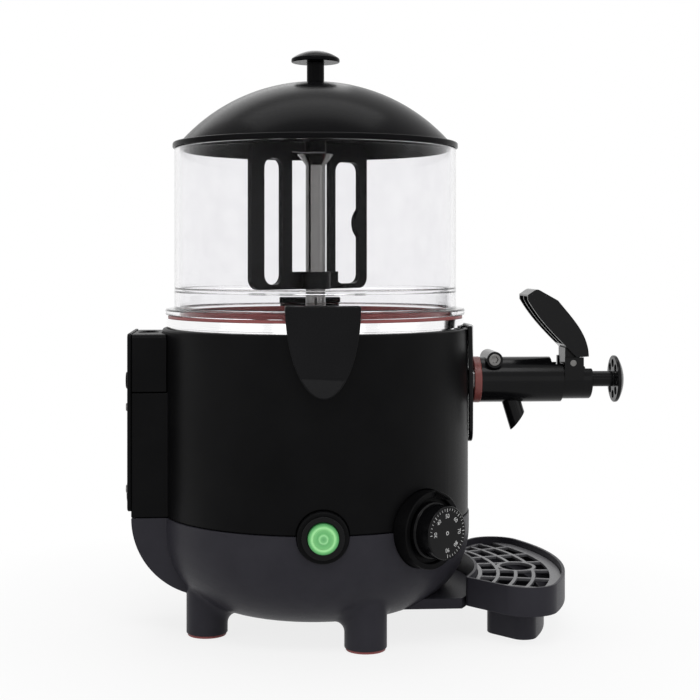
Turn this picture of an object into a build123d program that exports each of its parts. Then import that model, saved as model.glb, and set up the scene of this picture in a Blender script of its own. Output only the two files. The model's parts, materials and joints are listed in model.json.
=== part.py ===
import math
import os

from build123d import *

# Frame: millimetres, Z up from the worktop, body axis on Z, tap towards -Y.

# Shared clearances
RUN = 0.05
FREE = 0.3
EASE = 0.5
TOUCH = 0.1

# Casings
BODY_R = 122.5
BASE_STEP = 0.8
BASE_R = BODY_R + BASE_STEP
WALL = 3.0
SEAM_Z = 91.0
SEAM_GAP = 0.6
CASING_TOP = 237.0
LIP_W = 9.0
LIP_IN_R = BODY_R - LIP_W
LIP_T = 4.0
BASE_BOTTOM = 16.0
BASE_ROUND = 63.0
SPIGOT_H = 6.0
SPIGOT_T = 2.5
CASING_EDGE = 1.2

# Rear column
COL_HALF = 38.0
COL_OUT = 22.0
COL_BACK = BODY_R + COL_OUT
COL_BOTTOM = 30.0
COL_SPLIT = 188.0
COL_DROP = 3.5
COL_TOP = CASING_TOP - COL_DROP
COL_EDGE = 4.0
COVER_T = 3.0
COVER_PROUD = 1.5
COVER_BOTTOM = 97.0
CAP_RECESS_R = 11.0
CAP_RECESS_D = 1.5
WIRE_WAY_HALF = 20.0
WIRE_WAY_BOTTOM = 104.0
WIRE_WAY_TOP = 170.0

# Legs and pads
LEG_R = 16.0
LEG_FRONT_DEG = 69.0
LEG_FRONT_IN = 28.5
LEG_FRONT_CIRCLE = BODY_R - LEG_FRONT_IN
LEG_REAR_DEG = 157.5
LEG_REAR_IN = 29.5
LEG_REAR_CIRCLE = BODY_R - LEG_REAR_IN
PAD_T = 2.0
PAD_R = 15.0
LEG_BLEND = 8.0

# Water bath pan
SHEET = 1.2
BATH_GAP = 1.0
BATH_R = LIP_IN_R - BATH_GAP
BATH_DEPTH = 119.0
BATH_FLOOR = CASING_TOP - BATH_DEPTH
BATH_RIM_W = 4.5
BATH_RIM_R = BATH_R + BATH_RIM_W

# Heater
HEAT_PLATE_R = 82.0
HEAT_PLATE_BORE = 24.0
HEAT_PLATE_T = 3.0
HEAT_RING_R = 62.0
HEAT_TUBE_R = 4.0
CUTOUT_R = 12.0
CUTOUT_H = 8.0
CUTOUT_X = 45.0
BULB_R = 3.0
BULB_LEN = 70.0
BULB_Y = 40.0

# Pot with its tubes
POT_GAP = 8.5
POT_R = BATH_R - POT_GAP
POT_RIM_RISE = 8.0
POT_RIM = CASING_TOP + POT_RIM_RISE
POT_DEPTH = 69.0
POT_FLOOR = POT_RIM - POT_DEPTH
BAND_IN = 3.5
BAND_R = BODY_R - BAND_IN
BAND_RISE = 1.5
BAND_BOTTOM = CASING_TOP + BAND_RISE
TUBE_R = 8.0
TUBE_BORE = 7.3
STANDPIPE_R = TUBE_BORE - FREE
STANDPIPE_BORE = 5.5
STANDPIPE_OVER = 10.0
STANDPIPE_TOP = POT_FLOOR + STANDPIPE_OVER

# Clear bowl and its gasket
GASKET_T = 2.5
GASKET_GAP = 2.5
GASKET_IN_R = POT_R + GASKET_GAP
GASKET_EDGE = 1.0
GASKET_OUT_R = BAND_R - GASKET_EDGE
GASKET_LIP_T = 2.2
GASKET_LIP_H = 3.0
FLANGE_IN = 2.5
FLANGE_R = BODY_R - FLANGE_IN
FLANGE_W = 7.0
FLANGE_T = 5.0
BOWL_R = FLANGE_R - FLANGE_W
BOWL_T = 4.0
BOWL_RISE = 135.0
BOWL_TOP = POT_RIM + BOWL_RISE
STEP_RISE = 21.0
STEP_Z = POT_RIM + STEP_RISE
STEP_H = 2.5
STEP_W = 1.5

# Flared top of the centre tube
FLARE_R = 14.5
FLARE_H = 9.0
FLARE_DROP = 4.0
FLARE_TOP = BOWL_TOP - FLARE_DROP
FLARE_BOTTOM = FLARE_TOP - FLARE_H

# Lid
LID_OVER = 1.5
LID_R = BOWL_R + LID_OVER
LID_BAND_H = 4.5
LID_T = 3.0
LID_SHELF = 6.0
LID_DOME_R = LID_R - LID_SHELF
LID_RISE = 54.0
LID_TOP = BOWL_TOP + LID_RISE
LID_SPHERE = 144.0
LID_SKIRT_GAP = 1.0
LID_SKIRT_H = 2.5
LID_FLAT_R = 8.0
KNOB_STEM_R = 7.0
KNOB_STEM_H = 16.0
KNOB_R = 19.5
KNOB_RIM_Z = LID_TOP + KNOB_STEM_H
KNOB_EDGE = 3.0
KNOB_H = 9.5
KNOB_TOP = KNOB_RIM_Z + KNOB_H
LID_SCREW_R = 3.0
LID_SCREW_HEAD_R = 5.5
LID_SCREW_HEAD_H = 3.0
LID_SCREW_LEN = 16.0

# Paddle
PADDLE_DEG = 130.0
PADDLE_SHIFT = 7.0
PADDLE_T = 5.0
PADDLE_R = 62.8
PADDLE_IN = 21.0
BRIDGE_GAP = 1.5
BRIDGE_BOTTOM = FLARE_TOP + BRIDGE_GAP
BRIDGE_H = 8.5
BRIDGE_TOP = BRIDGE_BOTTOM + BRIDGE_H
PADDLE_LEN = 118.5
PADDLE_BOTTOM = BRIDGE_TOP - PADDLE_LEN
PADDLE_CORNER = 9.0
PADDLE_BAR_H = 14.0
SLOT_REAR_W = 19.0
SLOT_REAR_IN = 10.0
SLOT_FRONT_W = 28.0
SLOT_FRONT_IN = 5.5
SLOT_LOW = 4.0
SLOT_HIGH = 14.5
SLOT_ROUND = 8.0
SWELL_R = 15.0
SWELL_DEPTH = 5.3
HUB_R = 12.0
HUB_TOP_R = 8.5

# Drive
SHAFT_R = 4.0
SHAFT_COVER = 2.0
SHAFT_TOP = BRIDGE_TOP - SHAFT_COVER
GEARBOX_X = 64.0
GEARBOX_Y = 54.0
GEARBOX_H = 28.0
GEARBOX_RISE = 7.0
GEARBOX_TOP = SEAM_Z + GEARBOX_RISE
SHAFT_SINK = 8.0
SHAFT_BOTTOM = GEARBOX_TOP - SHAFT_SINK
MOTOR_R = 25.0
MOTOR_H = 36.0
BRACKET_IN = 68.5
BRACKET_X = 2 * (BODY_R - BRACKET_IN)
BRACKET_Y = 50.0
BRACKET_T = 2.5
COUPLING_R = 9.0
COUPLING_GAP = 1.0
COUPLING_BOTTOM = GEARBOX_TOP + BRACKET_T + COUPLING_GAP
COUPLING_H = 11.5
COUPLING_TOP = COUPLING_BOTTOM + COUPLING_H
BUSH_H = 10.0

# Side handles
HANDLE_HALF = 27.5
HANDLE_RISE = 13.0
HANDLE_TOP = POT_RIM + HANDLE_RISE
HANDLE_DROP = 51.0
HANDLE_CREASE_Z = HANDLE_TOP - HANDLE_DROP
HANDLE_TIP_H = 15.0
HANDLE_TIP_Z = HANDLE_CREASE_Z - HANDLE_TIP_H
HANDLE_T = 4.0
HANDLE_OUT = 4.5
HANDLE_TOP_R = BODY_R + HANDLE_OUT
HANDLE_LEAN = 6.0
HANDLE_CREASE_R = HANDLE_TOP_R + HANDLE_LEAN
HANDLE_FLARE = 7.0
HANDLE_TIP_R = HANDLE_CREASE_R + HANDLE_FLARE

# Outlet and front shield
TAP_Z = 194.0
OUTLET_R = 13.0
OUTLET_BORE = 11.0
NOTCH_HALF = 17.0
SHIELD_T = 3.5
SHIELD_GAP = 0.7
SHIELD_IN = BODY_R + SHIELD_GAP
SHIELD_HALF = 34.0
SHIELD_TIP_HALF = 17.0
SHIELD_RISE = 2.0
SHIELD_TOP = CASING_TOP + SHIELD_RISE
SHIELD_DROP = 50.0
SHIELD_BOTTOM = TAP_Z - SHIELD_DROP

# Tap body
SEAL_R = 18.6
SEAL_T = 6.2
SEAL_BACK = SHIELD_IN + SHIELD_T + TOUCH
BARREL_BACK = SEAL_BACK + SEAL_T
BARREL_R = 18.3
BARREL_LEN = 66.0
OUTLET_REACH = 12.0
OUTLET_END = BARREL_BACK + OUTLET_REACH
NOSE_START = BARREL_BACK + BARREL_LEN
NOSE_R = 16.0
NOSE_LEN = 16.5
BARREL_END = NOSE_START + NOSE_LEN
BOSS_OUT = 10.0
BOSS_F = BARREL_BACK + BOSS_OUT
BOSS_RISE = 17.0
BOSS_R = 6.5
BOSS_HALF = 18.0
SPOUT_R = 7.6
SPOUT_BORE = 5.8
SPOUT_OUT = 21.0
SPOUT_F = BARREL_BACK + SPOUT_OUT
SPOUT_LEAN = 17.0
SPOUT_LEN = 53.0
SPOUT_DROP = 57.0
SPOUT_TIP_Z = TAP_Z - SPOUT_DROP
SPOUT_CUT = 53.0
SCREW_R = 3.0
SCREW_HEAD_R = 4.8
SCREW_HEAD_H = 5.0
SCREW_SINK = 5.2
SCREW_LEN = 28.0
SCREW_HEX = 2.9
SCREW_HEX_D = 3.0

# Tap lever and its pin, with its outline measured from the pivot
PIVOT_IN = 8.5
PIVOT_F = BARREL_END - PIVOT_IN
PIVOT_RISE = 14.0
PIVOT_Z = TAP_Z + PIVOT_RISE
PIN_R = 2.5
LEVER_HALF = 19.0
LEVER_ROOT_HALF = 12.6
LEVER_ROOT_R = 6.0
LEVER_WALL = 2.6
LEVER_SKIN_F = 3.4
LEVER_SKIN_Z = 3.6
LEVER_RIB = 2.0
LEVER_HOLLOW_RISE = 15.0
LEVER_TIP_BACK = 37.5
LEVER_TIP_RISE = 55.0
LEVER_TIP_T = 4.0
LEVER_CREST_BACK = 30.0
LEVER_CREST_RISE = 60.0
LEVER_BROW_BACK = 13.0
LEVER_BROW_RISE = 50.5
LEVER_UP_BACK = 1.0
LEVER_UP_RISE = 36.0
LEVER_LOW_OUT = 8.0
LEVER_LOW_RISE = 22.0
LEVER_TOE_OUT = 12.0
LEVER_TOE_RISE = 5.4
LEVER_HEEL_OUT = 2.0
LEVER_IN_LOW_BACK = 7.0
LEVER_IN_LOW_RISE = 14.0
LEVER_IN_UP_BACK = 22.3
LEVER_IN_UP_RISE = 30.0
LUG_T = 3.6
LUG_IN = 7.0
LUG_BACK = PIVOT_F - LUG_IN
LUG_RISE = 4.5
LUG_TOP = PIVOT_Z + LUG_RISE
RECESS_IN = 16.5
RECESS_BACK = PIVOT_F - RECESS_IN
RECESS_DROP = 7.0
RECESS_FLOOR = PIVOT_Z - RECESS_DROP
FORK_HALF = 8.0
FORK_UNDER = 1.0
FORK_BOTTOM = TAP_Z - FORK_UNDER
FORK_T = 5.0
FORK_SLOT = 4.2

# Valve piston, rod and pull knob
PISTON_IN = 8.0
PISTON_BACK = SPOUT_F - PISTON_IN
PISTON_LEN = 22.0
PISTON_WALL = 0.05
RING_W = 2.4
RING_D = 1.6
ROD_R = 3.0
COLLAR_R = 7.5
COLLAR_T = 2.0
SPRING_R = 8.6
SPRING_T = 1.2
SEAT_T = 3.0
SEAT_IN = 14.0
SEAT_F = PIVOT_F - SEAT_IN
END_CAP_T = 8.0
END_CAP_CAVITY = 6.2
END_CAP_CAVITY_R = 10.5
PULL_GAP = 1.5
PULL_STEM_F = BARREL_END + END_CAP_T + PULL_GAP
PULL_STEM_R = 6.3
PULL_STEM_LEN = 20.5
PULL_R = 19.0
PULL_RIM_F = PULL_STEM_F + PULL_STEM_LEN
PULL_EDGE = 2.5
PULL_CROWN = 5.7
PULL_APEX_F = PULL_RIM_F + PULL_CROWN
PULL_POCKETS = 8
PULL_POCKET_D = 2.0

# Power button
SWITCH_DEG = 90.0
SWITCH_COLLAR_R = 19.0
SWITCH_OUT = 4.5
SWITCH_FACE = BODY_R + SWITCH_OUT
SWITCH_DEPTH = 12.0
SWITCH_CUT = 2 * SWITCH_DEPTH
SWITCH_BEZEL_R = 15.75
SWITCH_BEZEL_T = 2.0
SWITCH_BEZEL_FLANGE = 2.0
BUTTON_R = 11.25
BUTTON_PROUD = 3.5
BUTTON_LEN = 12.0
BUTTON_RING_R = 7.1
BUTTON_DOT_R = 3.6
BUTTON_STEP = 0.5
SWITCH_BODY_R = 13.0
SWITCH_BODY_LEN = 16.0

# Thermostat dial
DIAL_DEG = 51.0
DIAL_COLLAR_R = 29.0
DIAL_OUT = 9.5
DIAL_COLLAR_FACE = BODY_R + DIAL_OUT
DIAL_DEPTH = 18.0
DIAL_CUT = 2 * DIAL_DEPTH
DIAL_WELL_R = 24.5
DIAL_WELL_D = 4.0
DIAL_R = 19.7
DIAL_SKIRT_R = 21.0
DIAL_SKIRT_H = 4.0
DIAL_PROUD = 14.0
DIAL_FACE = DIAL_COLLAR_FACE + DIAL_PROUD
DIAL_MARK_W = 1.6
DIAL_MARK_L = 4.0
DIAL_MARK_H = 0.6
SPINDLE_R = 3.0
SPINDLE_LEN = 34.0
STAT_SIDE = 34.0
STAT_DEPTH = 18.0

# Drip tray, grate and bracket
TRAY_GAP = 4.2
TRAY_IN_R = BASE_R + TRAY_GAP
TRAY_DEPTH = 71.5
TRAY_OUT_R = TRAY_IN_R + TRAY_DEPTH
TRAY_APEX = 62.0
TRAY_HALF_DEG = 50.0
TRAY_CORNER = 24.0
TRAY_BACK_CORNER = 6.0
TRAY_RIM = 47.0
TRAY_FLOOR = 25.0
TRAY_T = 2.5
TRAY_LEDGE = 3.0
SUMP_BOTTOM = 4.0
SUMP_INSET_SHARE = 0.23
SUMP_INSET = TRAY_DEPTH * SUMP_INSET_SHARE
SUMP_BACK_SHARE = 0.2
SUMP_BACK = TRAY_DEPTH * SUMP_BACK_SHARE
SUMP_CORNER_SHARE = 0.15
SUMP_CORNER = TRAY_DEPTH * SUMP_CORNER_SHARE
GRATE_T = 3.0
GRATE_DROP = 5.0
GRATE_TOP = TRAY_RIM - GRATE_DROP
GRATE_RIB = 3.0
GRATE_RIM = 4.0
GRATE_BORDER = 15.5
GRATE_RINGS = 4
GRATE_PITCH = (TRAY_DEPTH - GRATE_BORDER) / GRATE_RINGS
GRATE_SPOKES = 6
GRATE_SPOKE_DEG = 10.0
GRATE_EYE_X = 15.0
GRATE_EYE_Y = 13.0
GRATE_EYE_R = TRAY_IN_R + TRAY_DEPTH / 2
ARM_HALF = 28.0
ARM_IN = 30.0
ARM_BACK = TRAY_IN_R - ARM_IN
ARM_REACH = 8.0
ARM_FRONT = TRAY_IN_R + ARM_REACH
ARM_T = 6.0
SHELF_IN = 60.5
SHELF_HALF = BODY_R - SHELF_IN
SHELF_RISE = 6.0
SHELF_T = 8.0
SHELF_GAP = 1.2
SHELF_R = TRAY_IN_R - SHELF_GAP

# Electrics in the column
BLOCK_X = 44.0
BLOCK_Y = 16.0
BLOCK_Z = 20.0
WELL_COUNT = 3
WELL_R = 3.0
WELL_DEPTH = 9.0
BLOCK_AT_Z = 140.0
GLAND_Z = 106.0
GLAND_R = 7.0
GLAND_BORE = 4.0
GLAND_FLANGE_R = 9.0
GLAND_OUT = 3.0
GLAND_IN = 7.0
GLAND_TAPER = 15.0
RESET_RISE = 7.0
RESET_Z = COL_SPLIT + RESET_RISE
RESET_R = 7.0
RESET_OUT = 4.0
RESET_STEM_R = 5.0

# Cover screws
CSCREW_R = 2.0
CSCREW_HEAD_R = 3.5
CSCREW_HEAD_H = 2.0
CSCREW_TAPER = 12.0
CSCREW_LEN = 8.0
CSCREW_X = 24.0
CSCREW_LOW_Z = 112.0
CSCREW_HIGH_Z = 176.0
CSCREW_ZS = (CSCREW_LOW_Z, CSCREW_HIGH_Z)

os.makedirs("parts", exist_ok=True)

# Side plane: local x runs forward from the axis, local y runs up.
SIDE = Plane(origin=(0, 0, 0), x_dir=(0, -1, 0), z_dir=(-1, 0, 0))


def save(builder, name):
    builder.part.label = name
    export_step(builder.part, f"parts/{name}.step")


def front_plane(forward, z=TAP_Z):
    return Plane(origin=(0, -forward, z), x_dir=(1, 0, 0), z_dir=(0, -1, 0))


def back_plane(y, z):
    return Plane(origin=(0, y, z), x_dir=(-1, 0, 0), z_dir=(0, 1, 0))


def radial_plane(degrees, radius, z):
    dx = -math.sin(math.radians(degrees))
    dy = -math.cos(math.radians(degrees))
    return Plane(origin=(dx * radius, dy * radius, z), x_dir=(-dy, dx, 0), z_dir=(dx, dy, 0))


def leg_points():
    points = []
    for degrees, circle in ((LEG_FRONT_DEG, LEG_FRONT_CIRCLE), (LEG_REAR_DEG, LEG_REAR_CIRCLE)):
        x = circle * math.sin(math.radians(degrees))
        y = -circle * math.cos(math.radians(degrees))
        points.append((x, y))
        points.append((-x, y))
    return points


def cap_radius(half_width, rise):
    return (half_width**2 + rise**2) / (2 * rise)


def wedge_points(reach):
    x = reach * math.sin(math.radians(TRAY_HALF_DEG))
    y = -TRAY_APEX - reach * math.cos(math.radians(TRAY_HALF_DEG))
    return [(0, -TRAY_APEX), (-x, y), (x, y)]


# Lower casing: rounded bowl, column foot and four legs, hollow inside
INNER_ROUND = BASE_ROUND - WALL
BASE_FLAT_R = BASE_R - BASE_ROUND
BASE_SIDE_Z = BASE_BOTTOM + BASE_ROUND
COL_ROUND = SEAM_Z - COL_BOTTOM
COL_FLAT_Y = COL_BACK - COL_ROUND
with BuildPart() as lower_casing:
    with BuildSketch(Plane.XZ):
        with BuildLine():
            Polyline((0, SEAM_Z), (0, BASE_BOTTOM), (BASE_FLAT_R, BASE_BOTTOM))
            RadiusArc((BASE_FLAT_R, BASE_BOTTOM), (BASE_R, BASE_SIDE_Z), -BASE_ROUND)
            Polyline((BASE_R, BASE_SIDE_Z), (BASE_R, SEAM_Z), (0, SEAM_Z))
        make_face()
    revolve(axis=Axis.Z)
    with BuildSketch(Plane.XY.offset(PAD_T)):
        with Locations(*leg_points()):
            Circle(LEG_R)
    extrude(amount=BASE_SIDE_Z - WALL - PAD_T)
    leg_roots = lower_casing.edges(Select.LAST).filter_by(GeomType.CIRCLE, reverse=True)
    fillet(leg_roots, radius=LEG_BLEND)
    with BuildSketch(Plane.YZ):
        with BuildLine():
            Polyline((0, SEAM_Z), (0, COL_BOTTOM), (COL_FLAT_Y, COL_BOTTOM))
            RadiusArc((COL_FLAT_Y, COL_BOTTOM), (COL_BACK, SEAM_Z), -COL_ROUND)
            Line((COL_BACK, SEAM_Z), (0, SEAM_Z))
        make_face()
    extrude(amount=COL_HALF, both=True)
    with BuildSketch(Plane.XZ):
        with BuildLine():
            Polyline((0, SEAM_Z), (0, BASE_BOTTOM + WALL), (BASE_FLAT_R, BASE_BOTTOM + WALL))
            RadiusArc((BASE_FLAT_R, BASE_BOTTOM + WALL), (BASE_R - WALL, BASE_SIDE_Z), -INNER_ROUND)
            Polyline((BASE_R - WALL, BASE_SIDE_Z), (BASE_R - WALL, SEAM_Z), (0, SEAM_Z))
        make_face()
    revolve(axis=Axis.Z, mode=Mode.SUBTRACT)
    with BuildSketch(Plane.YZ):
        with BuildLine():
            Polyline((0, SEAM_Z), (0, COL_BOTTOM + WALL), (COL_FLAT_Y, COL_BOTTOM + WALL))
            RadiusArc((COL_FLAT_Y, COL_BOTTOM + WALL), (COL_BACK - WALL, SEAM_Z), WALL - COL_ROUND)
            Line((COL_BACK - WALL, SEAM_Z), (0, SEAM_Z))
        make_face()
    extrude(amount=COL_HALF - WALL, both=True, mode=Mode.SUBTRACT)
    with BuildSketch(Plane.XY.offset(SEAM_Z - SPIGOT_H)):
        Circle(BASE_R - WALL)
        Circle(BODY_R - WALL - FREE - SPIGOT_T, mode=Mode.SUBTRACT)
        with Locations((0, COL_BACK)):
            Rectangle(2 * COL_HALF, 2 * COL_BACK, mode=Mode.SUBTRACT)
    extrude(amount=SPIGOT_H)
    with BuildSketch(Plane.XY.offset(SEAM_Z)):
        Circle(BODY_R - WALL - FREE)
        Circle(BODY_R - WALL - FREE - SPIGOT_T, mode=Mode.SUBTRACT)
        with Locations((0, COL_BACK)):
            Rectangle(2 * COL_HALF, 2 * COL_BACK, mode=Mode.SUBTRACT)
    extrude(amount=SPIGOT_H)
    with BuildSketch(radial_plane(DIAL_DEG, DIAL_COLLAR_FACE - DIAL_CUT, SEAM_Z)):
        Circle(DIAL_COLLAR_R + FREE)
    extrude(amount=DIAL_CUT, mode=Mode.SUBTRACT)
    with BuildSketch(radial_plane(SWITCH_DEG, SWITCH_FACE - SWITCH_CUT, SEAM_Z)):
        Circle(SWITCH_COLLAR_R + FREE)
    extrude(amount=SWITCH_CUT, mode=Mode.SUBTRACT)
save(lower_casing, "lower_casing")

# Upper casing: cylinder with an inner lip, front notch and the column's lower box
with BuildPart() as upper_casing:
    with BuildSketch(Plane.XY.offset(SEAM_Z + SEAM_GAP)):
        Circle(BODY_R)
        Circle(BODY_R - WALL, mode=Mode.SUBTRACT)
    extrude(amount=CASING_TOP - SEAM_Z - SEAM_GAP)
    with BuildSketch(Plane.XY.offset(CASING_TOP - LIP_T)):
        Circle(BODY_R)
        Circle(LIP_IN_R, mode=Mode.SUBTRACT)
    extrude(amount=LIP_T)
    top_rims = upper_casing.edges().filter_by(GeomType.CIRCLE).group_by(Axis.Z)[-1]
    chamfer(top_rims.sort_by(SortBy.RADIUS)[-1], length=CASING_EDGE)
    with BuildSketch(Plane.XY.offset(SEAM_Z + SEAM_GAP)):
        with Locations((0, COL_BACK / 2)):
            Rectangle(2 * COL_HALF, COL_BACK)
        Circle(BODY_R - WALL / 2, mode=Mode.SUBTRACT)
    extrude(amount=COL_SPLIT - SEAM_Z - SEAM_GAP)
    with BuildSketch(Plane.XY.offset(SEAM_Z + SEAM_GAP)):
        with Locations((0, COL_BACK / 2)):
            Rectangle(2 * (COL_HALF - WALL), COL_BACK - 2 * WALL)
        Circle(BODY_R, mode=Mode.SUBTRACT)
    extrude(amount=COL_SPLIT - SEAM_Z - SEAM_GAP, mode=Mode.SUBTRACT)
    with BuildSketch(Plane.XZ):
        with Locations((0, (WIRE_WAY_BOTTOM + WIRE_WAY_TOP) / 2)):
            Rectangle(2 * WIRE_WAY_HALF, WIRE_WAY_TOP - WIRE_WAY_BOTTOM)
    extrude(amount=-BODY_R - EASE, mode=Mode.SUBTRACT)
    with BuildSketch(front_plane(LIP_IN_R - WALL)):
        Circle(NOTCH_HALF)
        with Locations((0, (CASING_TOP - TAP_Z) / 2)):
            Rectangle(2 * NOTCH_HALF, CASING_TOP - TAP_Z)
    extrude(amount=BODY_R, mode=Mode.SUBTRACT)
    with BuildSketch(radial_plane(DIAL_DEG, DIAL_COLLAR_FACE - DIAL_CUT, SEAM_Z)):
        Circle(DIAL_COLLAR_R + FREE)
    extrude(amount=DIAL_CUT, mode=Mode.SUBTRACT)
    with BuildSketch(radial_plane(SWITCH_DEG, SWITCH_FACE - SWITCH_CUT, SEAM_Z)):
        Circle(SWITCH_COLLAR_R + FREE)
    extrude(amount=SWITCH_CUT, mode=Mode.SUBTRACT)
    for screw_z in CSCREW_ZS:
        with BuildSketch(back_plane(COL_BACK, screw_z)):
            with Locations((-CSCREW_X, 0), (CSCREW_X, 0)):
                Circle(CSCREW_R)
        extrude(amount=-WALL, mode=Mode.SUBTRACT)
    with BuildSketch(back_plane(COL_BACK, GLAND_Z)):
        Circle(GLAND_R + FREE)
    extrude(amount=-WALL, mode=Mode.SUBTRACT)
save(upper_casing, "upper_casing")

# Column cap: closes the top of the column
with BuildPart() as column_cap:
    with BuildSketch(Plane.XY.offset(COL_SPLIT + SEAM_GAP)):
        with Locations((0, COL_BACK / 2)):
            Rectangle(2 * COL_HALF, COL_BACK)
        Circle(BODY_R + FREE, mode=Mode.SUBTRACT)
    extrude(amount=COL_TOP - COL_SPLIT - SEAM_GAP)
    fillet(column_cap.edges().filter_by(Axis.Y).group_by(Axis.Z)[-1], radius=COL_EDGE)
    with BuildSketch(Plane.XY.offset(COL_SPLIT + SEAM_GAP)):
        with Locations((0, COL_BACK / 2)):
            Rectangle(2 * (COL_HALF - WALL), COL_BACK - 2 * WALL)
        Circle(BODY_R + FREE + WALL, mode=Mode.SUBTRACT)
    extrude(amount=COL_TOP - COL_SPLIT - SEAM_GAP - COL_EDGE, mode=Mode.SUBTRACT)
    with BuildSketch(Plane.XY.offset(COL_TOP - CAP_RECESS_D)):
        with Locations((0, (BODY_R + COL_BACK) / 2)):
            Ellipse(2 * CAP_RECESS_R, CAP_RECESS_R - WALL)
    extrude(amount=CAP_RECESS_D, mode=Mode.SUBTRACT)
    with BuildSketch(back_plane(COL_BACK, RESET_Z)):
        Circle(RESET_STEM_R + FREE)
    extrude(amount=-WALL, mode=Mode.SUBTRACT)
save(column_cap, "column_cap")

# Rear cover: plate over the whole back of the column, a little proud at its sides
with BuildPart() as column_cover:
    with BuildSketch(back_plane(COL_BACK, (COVER_BOTTOM + COL_TOP) / 2)):
        RectangleRounded(
            2 * (COL_HALF + COVER_PROUD),
            COL_TOP + COVER_PROUD - COVER_BOTTOM,
            COL_EDGE,
        )
    extrude(amount=COVER_T)
    chamfer(column_cover.faces().sort_by(Axis.Y)[-1].edges(), length=COVER_PROUD / 2)
    for screw_z in CSCREW_ZS:
        with BuildSketch(back_plane(COL_BACK, screw_z)):
            with Locations((-CSCREW_X, 0), (CSCREW_X, 0)):
                Circle(CSCREW_R)
        extrude(amount=COVER_T, mode=Mode.SUBTRACT)
    with BuildSketch(back_plane(COL_BACK, GLAND_Z)):
        Circle(GLAND_R + FREE)
    extrude(amount=COVER_T, mode=Mode.SUBTRACT)
    with BuildSketch(back_plane(COL_BACK, RESET_Z)):
        Circle(RESET_STEM_R + FREE)
    extrude(amount=COVER_T, mode=Mode.SUBTRACT)
save(column_cover, "column_cover")

# Cover screws
with BuildPart() as cover_screws:
    for screw_z in CSCREW_ZS:
        with BuildSketch(back_plane(COL_BACK + COVER_T - CSCREW_LEN, screw_z)):
            with Locations((-CSCREW_X, 0), (CSCREW_X, 0)):
                Circle(CSCREW_R)
        extrude(amount=CSCREW_LEN)
        with BuildSketch(back_plane(COL_BACK + COVER_T, screw_z)):
            with Locations((-CSCREW_X, 0), (CSCREW_X, 0)):
                Circle(CSCREW_HEAD_R)
        extrude(amount=CSCREW_HEAD_H, taper=CSCREW_TAPER)
save(cover_screws, "cover_screws")

# Cord gland through the rear cover
with BuildPart() as cord_gland:
    with BuildSketch(back_plane(COL_BACK + COVER_T - GLAND_IN, GLAND_Z)):
        Circle(GLAND_R)
    extrude(amount=GLAND_IN)
    with BuildSketch(back_plane(COL_BACK + COVER_T, GLAND_Z)):
        Circle(GLAND_FLANGE_R)
    extrude(amount=GLAND_OUT, taper=GLAND_TAPER)
    with BuildSketch(back_plane(COL_BACK + COVER_T - GLAND_IN, GLAND_Z)):
        Circle(GLAND_BORE)
    extrude(amount=GLAND_IN + GLAND_OUT, mode=Mode.SUBTRACT)
save(cord_gland, "cord_gland")

# Cap over the thermal cut-out's reset pin
with BuildPart() as reset_cap:
    with BuildSketch(back_plane(COL_BACK - WALL, RESET_Z)):
        Circle(RESET_STEM_R)
    extrude(amount=WALL + COVER_T)
    with BuildSketch(back_plane(COL_BACK + COVER_T, RESET_Z)):
        Circle(RESET_R)
    extrude(amount=RESET_OUT)
    fillet(reset_cap.faces().sort_by(Axis.Y)[-1].edges(), radius=COVER_PROUD)
save(reset_cap, "reset_cap")

# Foot pads
with BuildPart() as foot_pads:
    with BuildSketch(Plane.XY):
        with Locations(*leg_points()):
            Circle(PAD_R)
    extrude(amount=PAD_T)
save(foot_pads, "foot_pads")

# Water bath pan with a standpipe for the drive shaft and a notch for the outlet
with BuildPart() as water_bath:
    with BuildSketch(Plane.XZ):
        with BuildLine():
            Polyline(
                (STANDPIPE_BORE, BATH_FLOOR - SHEET),
                (BATH_R, BATH_FLOOR - SHEET),
                (BATH_R, CASING_TOP),
                (BATH_RIM_R, CASING_TOP),
                (BATH_RIM_R, CASING_TOP + SHEET),
                (BATH_R - SHEET, CASING_TOP + SHEET),
                (BATH_R - SHEET, BATH_FLOOR),
                (STANDPIPE_R, BATH_FLOOR),
                (STANDPIPE_R, STANDPIPE_TOP),
                (STANDPIPE_BORE, STANDPIPE_TOP),
                close=True,
            )
        make_face()
    revolve(axis=Axis.Z)
    with BuildSketch(front_plane(POT_R)):
        Circle(NOTCH_HALF)
        with Locations((0, (CASING_TOP + SHEET - TAP_Z) / 2)):
            Rectangle(2 * NOTCH_HALF, CASING_TOP + SHEET - TAP_Z)
    extrude(amount=BODY_R - POT_R, mode=Mode.SUBTRACT)
save(water_bath, "water_bath")

# Heater plate under the pan
with BuildPart() as heater_plate:
    with BuildSketch(Plane.XY.offset(BATH_FLOOR - SHEET - HEAT_PLATE_T)):
        Circle(HEAT_PLATE_R)
        Circle(HEAT_PLATE_BORE, mode=Mode.SUBTRACT)
    extrude(amount=HEAT_PLATE_T)
save(heater_plate, "heater_plate")

HEAT_RING_Z = BATH_FLOOR - SHEET - HEAT_PLATE_T - HEAT_TUBE_R
with BuildPart() as heater_ring:
    with BuildSketch(Plane.XZ):
        with Locations((HEAT_RING_R, HEAT_RING_Z)):
            Circle(HEAT_TUBE_R)
    revolve(axis=Axis.Z)
save(heater_ring, "heater_ring")

with BuildPart() as thermal_cutout:
    with BuildSketch(Plane.XY.offset(BATH_FLOOR - SHEET - HEAT_PLATE_T - CUTOUT_H)):
        with Locations((CUTOUT_X, 0)):
            Circle(CUTOUT_R)
    extrude(amount=CUTOUT_H)
save(thermal_cutout, "thermal_cutout")

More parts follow.
